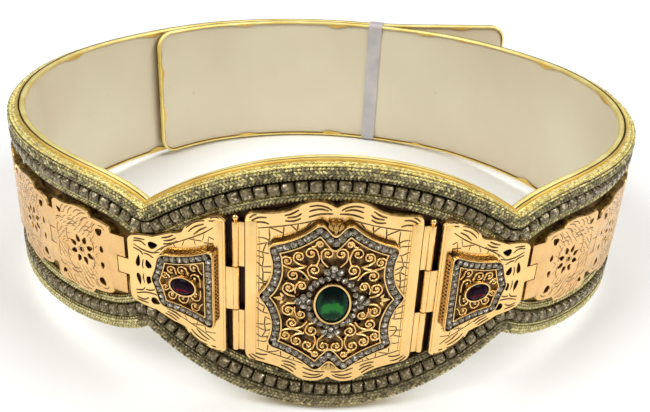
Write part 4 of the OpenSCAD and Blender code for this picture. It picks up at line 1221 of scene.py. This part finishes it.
sideMedallion = {
    "rows": [(57.6, 0, -0.4), (54.9, 10.1, -1.2), (36.1, 15.6, 0)], "steps": 3,
    "border": 2.95, "rim": 0.4, "sheet": 6.6, "sheetTop": 7.2, "rimTop": 8.2, "bezelTop": 8.9, "bezel": 0.7,
    "stone": (8.5, 6.2), "wire": 0.62, "wireRise": 0.65, "corner": 2.8, "dip": 0.6, "turns": 0.85,
    "inner": 1.0, "scrolls": sideScrolls, "gaps": sideGaps, "ways": [(1, 1), (1, -1)], "cut": 0,
    "stoneHeights": (7.3, 8.2, 9.65), "stoneSides": 14, "garnetAt": 46.2,
    "dots": 1.4, "dotSize": 0.36, "dotsIn": 0.3, "dotsOver": 0.9, "dotsReach": (0.8, 13),
    "loops": 1.95, "loopSize": (0.85, 0.2), "loopsIn": 0.15, "loopsOver": 1.05, "loopsFrom": (-12.5, 7)}
gallery = {"wall": (0.5, 1.35), "rail": (0.32, 0.75), "rails": ((0.12, 0.3), (0.9, 0.26)), "sheetIn": 0.05,
           "granule": (0.56, 0.42)}


def cornerTurn(before, here, after):
    a, b = here - before, after - here
    return atan2(a.x * b.y - a.y * b.x, a.dot(b))


def trimmed(line, d):  # the line without its first d mm
    for i, (a, b) in enumerate(zip(line, line[1:])):
        run = (b - a).length
        if run > d:
            return [a.lerp(b, d / run)] + line[i + 1:]
        d -= run
    return line[-2:]


def softOutline(path, cut, dip=0.6):  # smooth stretches between rounded corners
    n = len(path)
    turns = [cornerTurn(path[i - 1], path[i], path[(i + 1) % n]) for i in range(n)]
    corners = [i for i in range(n) if abs(turns[i]) > 0.4]

    def reach(i):
        return dip if turns[i] < 0 else cut * (0.35 if abs(path[i].y) < 1 else 1)

    stretches = []
    for i, j in zip(corners, corners[1:] + corners[:1]):
        stretch = [path[(i + m) % n] for m in range((j - i) % n + 1)]
        if len(stretch) > 2:
            stretch = curveThrough(stretch, 3)
        stretch = trimmed(stretch, reach(i))
        stretches.append(trimmed(stretch[::-1], reach(j))[::-1])
    out = []
    for k, i in enumerate(corners):
        a, c, b = stretches[k - 1][-1], path[i], stretches[k][0]
        out += [a.lerp(c, t).lerp(c.lerp(b, t), t) for t in (0.2, 0.4, 0.6, 0.8)] + stretches[k]
    return out


def scrollPath(centre, radius, tail, join, way, turns, inner):
    points = [Vector(p) for p in tail]
    steps = round(turns * 12)
    for k in range(steps + 1):
        t = k / steps
        r = radius - (radius - inner) * t ** 1.15
        a = radians(join) + way * 2 * pi * turns * t
        points.append(Vector(centre) + r * Vector((cos(a), sin(a))))
    return curveThrough(points, 3)


def addWire(bm, path, surface, width, foot, rise):
    half = width / 2
    section = [(-half, foot - 0.03), (-half, foot + 0.62 * rise), (-0.45 * half, foot + rise),
               (0.45 * half, foot + rise), (half, foot + 0.62 * rise), (half, foot - 0.03)]
    part = bmesh.new()
    sweep(part, path, section, surface)
    closeUp(part)
    joinPart(bm, part)


def addGranule(bm, frameAt, radius, material=0):
    part = bmesh.new()
    bmesh.ops.create_icosphere(part, subdivisions=2, radius=radius)
    joinPart(bm, part, frameAt, material)


def alongOutline(path, pitch):  # even places along a closed outline: point and direction
    ends = path[1:] + path[:1]
    runs = [(b - a).length for a, b in zip(path, ends)]
    total = sum(runs)
    count = max(1, round(total / pitch))
    places, step, done = [], 0, 0.0
    for k in range(count):
        t = (k + 0.5) * total / count
        while done + runs[step] < t:
            done += runs[step]
            step += 1
        a, b = path[step], ends[step]
        places.append((a.lerp(b, (t - done) / runs[step]), atan2(b.y - a.y, b.x - a.x)))
    return places


def makeMedallion(data, coarse, stoneX, surface, level, footAt):
    bm = bmesh.new()
    top, mid, cut = data["sheetTop"], data["sheet"] + 0.3, data["cut"]

    def ring(*insets):
        corners = [data["corner"] if d < 2 else 0.6 for d in insets]
        return [softOutline(shrink(coarse, d), corner, data["dip"]) for d, corner in zip(insets, corners)]

    def wall(x, z, h):  # heights 0 to 1 run from the plate to the sheet
        return surface(x, z, footAt(x) + h * (mid - footAt(x)))

    cutSheet(bm, ring(*gallery["wall"]), 0, 1, wall, 0, cut, (1, 1))
    for share, thick in gallery["rails"]:  # rails round the gallery wall
        half = thick / (mid - footAt(0)) / 2
        cutSheet(bm, ring(*gallery["rail"]), share - half, share + half, wall, 0, cut, (3, 1))
    holes = [oval(2 * r, 2 * r, 14, stoneX + sx * x, sz * z)
             for x, z, r in data["gaps"] for sx, sz in data["ways"]]
    # the dark sheet is painted shade: it stands for the shadowed hollow seen through the pierced work
    cutSheet(bm, ring(gallery["sheetIn"]) + holes, data["sheet"], top, surface, 0.05, cut, (2, 2))
    for d in (0, data["border"]):
        cutSheet(bm, ring(d, d + data["rim"]), mid, data["rimTop"], surface, 0.15, cut)
    wide, tall = data["stone"]
    bezel = [oval(wide + more, tall + more, 48, stoneX) for more in (2 * data["bezel"], 0.1)]
    cutSheet(bm, bezel, mid - 0.2, data["bezelTop"], level, 0.2)
    large, small = gallery["granule"]
    for centre, radius, tail, join, way in data["scrolls"]:
        path = scrollPath(centre, radius, tail, join, way, data["turns"], data["inner"])
        for sx, sz in data["ways"]:
            moved = [Vector((stoneX + sx * p.x, sz * p.y)) for p in path]
            addWire(bm, moved, surface, data["wire"], top, data["wireRise"])
            spot = standOn(surface, stoneX + sx * centre[0], sz * centre[1], top + 0.25)
            addGranule(bm, spot, large if radius > 1.3 else small)
    return bm


flat = flatSurface(0)
centreCoarse = bothHalves(bothQuarters(traceRows(centreMedallion["rows"], centreMedallion["steps"])))
bm = makeMedallion(centreMedallion, centreCoarse, 0, centreSurface, flat, lambda x: front + 0.1)
# leaves at the two side points and in the two dips: x, z, length, turn
pointLeaves = {"spots": [(17.3, 0, 3.0, 0), (16.2, 1.5, 2.0, 60), (16.2, -1.5, 2.0, -60)],
               "heights": (7.2, 7.95)}
dipLeaves = {"spots": [(0, 26.1, 3.6, -90), (-1.5, 26.7, 2.8, -60), (1.5, 26.7, 2.8, -120)],
             "heights": (6.9, 7.9), "knob": (3.2, 1.5, 27.6), "knobHeights": (5.45, 7.2)}
for sx in (1, -1):
    for x, z, length, turn in pointLeaves["spots"]:
        leaf = drop(sx * x, z, length, length * 0.5, turn if sx > 0 else 180 - turn)
        cutSheet(bm, [leaf], *pointLeaves["heights"], centreSurface, 0.2)
for sz in (1, -1):
    for x, z, length, turn in dipLeaves["spots"]:
        leaf = drop(x, sz * z, length, length * 0.42, sz * turn)
        cutSheet(bm, [leaf], *dipLeaves["heights"], centreSurface, 0.25, tones=(3, 3))
    wide, tall, z = dipLeaves["knob"]
    knob = oval(wide, tall, 16, 0, sz * z)
    cutSheet(bm, [knob], *dipLeaves["knobHeights"], centreSurface, 0.25, tones=(3, 3))
finishPiece(bm, "centreMedallion", "wireGold galleryWall galleryMetal leafGold",
            "center_medallion", closed=False)


def brilliant(name, radius, height, sides=8):  # a small round stone in its cup, facing +z
    bm = bmesh.new()
    girdle = 0.42 * height

    def add(made, move, material):
        bmesh.ops.transform(bm, matrix=move, verts=made["verts"])
        for face in {f for v in made["verts"] for f in v.link_faces if material}:
            face.material_index = material

    table = 0.8 * height
    for z0, z1, r0, r1, cap in ((girdle, table, 0.96, 0.84, False), (table, height, 0.84, 0.5, True)):
        made = bmesh.ops.create_cone(bm, cap_ends=cap, segments=sides, radius1=radius * r0,
                                     radius2=radius * r1, depth=z1 - z0)
        add(made, shiftBy(0, 0, (z0 + z1) / 2) @ turnBy(pi / sides if cap else 0, "Z"), 0)
    made = bmesh.ops.create_cone(bm, cap_ends=True, segments=10, radius1=radius * 0.8, radius2=radius,
                                 depth=girdle * 1.2)
    add(made, shiftBy(0, 0, girdle * 0.6), 1)
    for k in range(4):  # four beads hold it
        a = pi / 4 + k * pi / 2
        add(bmesh.ops.create_icosphere(bm, subdivisions=1, radius=radius * 0.22),
            shiftBy(radius * cos(a), radius * sin(a), girdle * 1.35), 1)
    return meshOf(bm, name)


pave = {"pitch": 2.35, "share": 0.46, "height": 1.05, "lift": 0.05}


def makePave(name, coarse, data, surface, replaced, seed):
    rng = random.Random(seed)
    line = shrink(coarse, (data["rim"] + data["border"]) / 2)
    middle = softOutline(line, 0.6 * data["corner"], data["dip"])
    stone = brilliant(name + "Stone", (data["border"] - data["rim"]) * pave["share"], pave["height"])
    matrices = [standOn(surface, p.x, p.y, data["sheetTop"] + pave["lift"], a + rng.uniform(-0.1, 0.1),
                        rng.uniform(0.93, 1.02)) @ turnBy(rng.uniform(-0.08, 0.08), "X")
                for p, a in alongOutline(middle, pave["pitch"])]
    stampCopies(name, stone, matrices, "clearStone settingMetal", replaced, 12)


makePave("centrePave", centreCoarse, centreMedallion, centreSurface, "center_pave", 3)
flower = {  # x, z and size of the stones above and below, beside and between
    "above": [(0, 12.6, 1.05), (2, 11.4, 1), (-2, 11.4, 1), (0, 10.4, 0.9), (1.5, 9.1, 0.85),
              (-1.5, 9.1, 0.85)],
    "beside": [(7.4, 0, 0.9), (9.1, 1.5, 1), (9.1, -1.5, 1), (10.9, 0, 1.05), (9.1, 0.1, 0.7)],
    "between": [(3.6, 8.2, 0.9), (5.5, 6.9, 1), (6.8, 5.1, 0.85), (7.4, 2.6, 0.8)],
    "stone": (1.0, 1.7), "scale": 1.25, "lift": 0.03}
spots = [(x, sz * z, r) for x, z, r in flower["above"] for sz in (1, -1)]
spots += [(sx * x, z, r) for sx in (1, -1) for x, z, r in flower["beside"]]
spots += [(sx * x, sz * z, r) for sx in (1, -1) for sz in (1, -1) for x, z, r in flower["between"]]
rng = random.Random(8)
height = centreMedallion["sheetTop"] + flower["lift"]
matrices = [standOn(centreSurface, x, z, height, rng.uniform(0, 1.5), r * flower["scale"])
            for x, z, r in spots]
stampCopies("flowerStones", brilliant("flowerStone", *flower["stone"]), matrices, "clearStone settingMetal",
            "flower_stones", 12)


def cutStone(name, data, surface, x, look, replaced):  # an oval stone cut in levels
    bm = bmesh.new()
    segments = data["stoneSides"]
    bmesh.ops.create_uvsphere(bm, u_segments=segments, v_segments=10, radius=1)
    wide, tall = data["stone"]
    foot, girdle, top = data["stoneHeights"]
    reach = [0, 0.3, 0.6, 0.8, 0.94, 1.0, 0.95, 0.9, 0.6, 0.3, 0]
    rise = [top, top, top, girdle + 0.72 * (top - girdle), girdle + 0.34 * (top - girdle), girdle,
            foot + (girdle - foot) * 0.5, foot, foot, foot, foot]
    for v in bm.verts:
        level = round(acos(max(-1, min(1, v.co.z))) / pi * 10)
        turn = Matrix.Rotation(level * pi / segments, 2) @ v.co.xy
        if v.co.xy.length > 0.001:
            turn *= reach[level] / v.co.xy.length
        v.co = surface(x + turn.x * wide / 2, turn.y * tall / 2, rise[level])
    finishPiece(bm, name, look, replaced, sharp=1)


def jewelFinish(name, centre, size, dark, body, glow, band):
    # a deep stone with a painted glow arched across its middle and painted shade above it, placed by the
    # object's own coordinates
    tree = newMaterial(name, body, roughness=0.07, Specular_IOR_Level=0.06)
    place = addNode(tree, "Mapping", {"Vector": coordinates(tree)}, vector_type="TEXTURE", Location=centre,
                    Scale=size).outputs["Vector"]
    parts = addNode(tree, "SeparateXYZ", {"Vector": place}).outputs
    cells = addNode(tree, "TexVoronoi", {"Vector": place}, Scale=3.4).outputs["Distance"]
    square = calculate(tree, "MULTIPLY", parts["X"], parts["X"])
    arch = calculate(tree, "MULTIPLY_ADD", square, 0.5, parts["Z"])
    level = spread(tree, calculate(tree, "MULTIPLY_ADD", cells, 0.22, arch), -1, 1)
    low, high = band
    tint = ramp(tree, level, [(0.0, body), (low - 0.1, body), (low, glow), (high, glow), (high + 0.05, body),
                              (high + 0.18, dark), (1.0, dark)])
    feed(tree, blend(tree, spread(tree, square, 0.3, 0.55), tint, body))


jewels = {  # size in metres: half the stone's; band: where the painted glow starts and ends in height, 0 to 1; dark: the painted shade above it
    "emerald": {"size": (0.0053, 0.0053, 0.0066), "dark": (0.002, 0.006, 0.0045),
                "body": (0.009, 0.038, 0.018), "glow": (0.026, 0.18, 0.033), "band": (0.45, 0.62)},
    "garnet": {"size": (0.00425, 0.00425, 0.0031), "dark": (0.009, 0.003, 0.007),
               "body": (0.022, 0.004, 0.011), "glow": (0.14, 0.004, 0.012), "band": (0.45, 0.48)}}
jewelFinish("emeraldGlass", toWorld @ flat(0, 0, 10), **jewels["emerald"])
cutStone("emeraldStone", centreMedallion, flat, 0, "emeraldGlass", "emerald")
print("centre medallion made")

top = sideMedallion["sheetTop"]
stoneX = (sideMedallion["garnetAt"] - sideAt) * (belt["frontRadius"] + top) / belt["frontRadius"]
sideCoarse = bothHalves(traceRows(alongFrom(sideAt, top, sideMedallion["rows"]), sideMedallion["steps"]))


def sideFoot(x):
    r = belt["frontRadius"] + front
    return 0.1 + sqrt(r * r - x * x) - belt["frontRadius"]


def wireLoop(name, radius, wire):  # a ring standing on edge
    bm = bmesh.new()
    bmesh.ops.create_circle(bm, segments=6, radius=wire, matrix=shiftBy(radius, 0, 0))
    bmesh.ops.spin(bm, geom=bm.verts[:] + bm.edges[:], cent=(0, 0, 0), axis=(0, 1, 0), dvec=(0, 0, 0),
                   angle=2 * pi, steps=12, use_duplicate=False)
    bmesh.ops.remove_doubles(bm, verts=bm.verts, dist=0.001)
    for face in bm.faces:
        face.material_index = 3
    return meshOf(bm, name)


def sideEdge(inwards):
    return softOutline(shrink(sideCoarse, inwards), sideMedallion["corner"])


loop = wireLoop("galleryLoop", *sideMedallion["loopSize"])


def makeSideMedallion(side, word):
    surface = flatSurface(sideAt, side)
    bm = makeMedallion(sideMedallion, sideCoarse, stoneX, surface, surface, sideFoot)
    inwards = (surface(-1, 0, 0) - surface(0, 0, 0)).normalized()
    for face in bm.faces:  # painted light and shade: the wall's faces towards the middle take the lit gold, its upward faces behind the loops above the dark metal
        if face.material_index == 1 and face.normal.dot(inwards) > 0.7:
            face.material_index = 4
        elif face.material_index == 1 and face.normal.z > 0.6:
            face.material_index = 2
    outline = sideEdge(sideMedallion["dotsIn"])
    (wide, tall), over = sideMedallion["dotsReach"], sideMedallion["dotsOver"]
    leftEnd = min(p.x for p in outline)
    for p, a in alongOutline(outline, sideMedallion["dots"]):
        if p.x < leftEnd + wide and abs(p.y) < tall:
            addGranule(bm, standOn(surface, p.x, p.y, sideFoot(p.x) + over), sideMedallion["dotSize"], 2)
    (left, low), over = sideMedallion["loopsFrom"], sideMedallion["loopsOver"]
    for p, a in alongOutline(sideEdge(sideMedallion["loopsIn"]), sideMedallion["loops"]):
        if p.x > left and p.y > low:
            copy = loop.copy()
            copy.transform(standOn(surface, p.x, p.y, sideFoot(p.x) + over, a))
            bm.from_mesh(copy)
            bpy.data.meshes.remove(copy)
    finishPiece(bm, word + "SideMedallion", "wireGold galleryWall galleryMetal leafGold sideWallGold",
                word + "_side_medallion", closed=False)
    makePave(word + "SidePave", sideCoarse, sideMedallion, surface, word + "_side_pave", 4)
    glass = word + "GarnetGlass"
    jewelFinish(glass, toWorld @ surface(stoneX, 0, 9), **jewels["garnet"])
    cutStone(word + "GarnetStone", sideMedallion, surface, stoneX, glass, word + "_garnet")


for side, word in sides:
    makeSideMedallion(side, word)
print("side medallions made")

# The strip of film round the two ends at the back

film = {"at": 31, "width": 7, "thickness": 0.3, "inside": 3.4, "outside": 4.65, "half": 32.25, "round": 1.6,
        "step": 4}


def makeFilm():
    tree = newMaterial("stripFilm", (0.66, 0.63, 0.62), roughness=0.32, Alpha=0.78, Coat_Weight=0.4)
    feed(tree, ramp(tree, clouds(tree, coordinates(tree), 120, 3),
                    [(0.3, (0.52, 0.49, 0.5)), (0.7, (0.68, 0.64, 0.62))]))
    base = atWall(halfLoop - film["at"], 0, lap)
    r = film["round"]
    path = []
    for y, z, start in ((-film["outside"], -film["half"], 180), (film["inside"], -film["half"], 270),
                        (film["inside"], film["half"], 0), (-film["outside"], film["half"], 90)):
        cy, cz = y + (r if y < 0 else -r), z + (r if z < 0 else -r)
        turns = [radians(start + a) for a in range(0, 91, 15)]
        path += [(cy + r * cos(a), cz + r * sin(a)) for a in turns]
    steps = []
    for a, b in zip(path, path[1:] + path[:1]):
        n = max(1, round(dist(a, b) / film["step"]))
        steps += [(a[0] + (b[0] - a[0]) * k / n, a[1] + (b[1] - a[1]) * k / n) for k in range(n)]
    half, thick = film["width"] / 2, film["thickness"]
    section = [(0, -half), (0, -half / 2), (0, 0), (0, half / 2), (0, half), (thick, half), (thick, 0),
               (thick, -half)]

    def place(y, z, x):
        return base @ Vector((x + wavy(y + z, x, 14, 0.25, 3), y, z))

    bm = bmesh.new()
    sweep(bm, steps, section, place, loop=True)
    closeUp(bm)
    finishPiece(bm, "holdingFilm", "stripFilm", "holding_strip", sharp=50)


makeFilm()
print("holding strip made")

# Stage, light and camera

stage = {"floor": 3.0, "tone": 0.94, "world": 0.3}
scene = bpy.context.scene


def addObject(name, data):
    made = bpy.data.objects.new(name, data)
    scene.collection.objects.link(made)
    return made


bm = bmesh.new()
bmesh.ops.create_grid(bm, x_segments=1, y_segments=1, size=stage["floor"])
mesh = meshOf(bm, "stageFloor", False)
newMaterial("stageFloor", (stage["tone"],) * 3, roughness=0.6)
mesh.materials.append(finishes["stageFloor"])
addObject("stageFloor", mesh)

scene.world = bpy.data.worlds.new("studio")
scene.world.use_nodes = True
sky = scene.world.node_tree.nodes["Background"].inputs
sky["Color"].default_value = (1, 1, 1, 1)
sky["Strength"].default_value = stage["world"]

lamps = [  # name, place, aim, size, watts
    ("keyLamp", (-1.3, -0.6, 1.7), (0, -0.05, 0.05), 1.1, 30),
    ("fillLamp", (1.4, -0.5, 1.5), (0, -0.05, 0.05), 1.2, 25),
    ("backLamp", (0.2, 1.2, 1.9), (0, 0.05, 0.03), 1.3, 12),
]
for name, place, aim, size, watts in lamps:
    data = bpy.data.lights.new(name, "AREA")
    data.energy, data.size = watts, size
    lamp = addObject(name, data)
    lamp.location = place
    lamp.rotation_euler = (Vector(aim) - Vector(place)).to_track_quat("-Z", "Y").to_euler()

view = {"elevation": 27.86, "azimuth": -3.34, "roll": -2.91, "distance": 271, "aimX": -3.37,
        "aimZ": 26.66, "lens": 45.86, "sensor": 36}
e, a, r = (radians(view[k]) for k in ("elevation", "azimuth", "roll"))
backwards = Vector((sin(a) * cos(e), -cos(a) * cos(e), sin(e)))
right = Vector((cos(a), sin(a), 0))
up = backwards.cross(right)
spot = toWorld @ (view["aimX"] * right + view["aimZ"] * up + backwards * view["distance"])
turn = Matrix((cos(r) * right - sin(r) * up, sin(r) * right + cos(r) * up, backwards)).transposed().to_4x4()
data = bpy.data.cameras.new("photoCamera")
data.lens, data.sensor_width, data.clip_start = view["lens"], view["sensor"], 0.01
scene.camera = addObject("photoCamera", data)
scene.camera.matrix_world = Matrix.Translation(spot) @ leanBack @ turn
scene.view_settings.view_transform = "Standard"
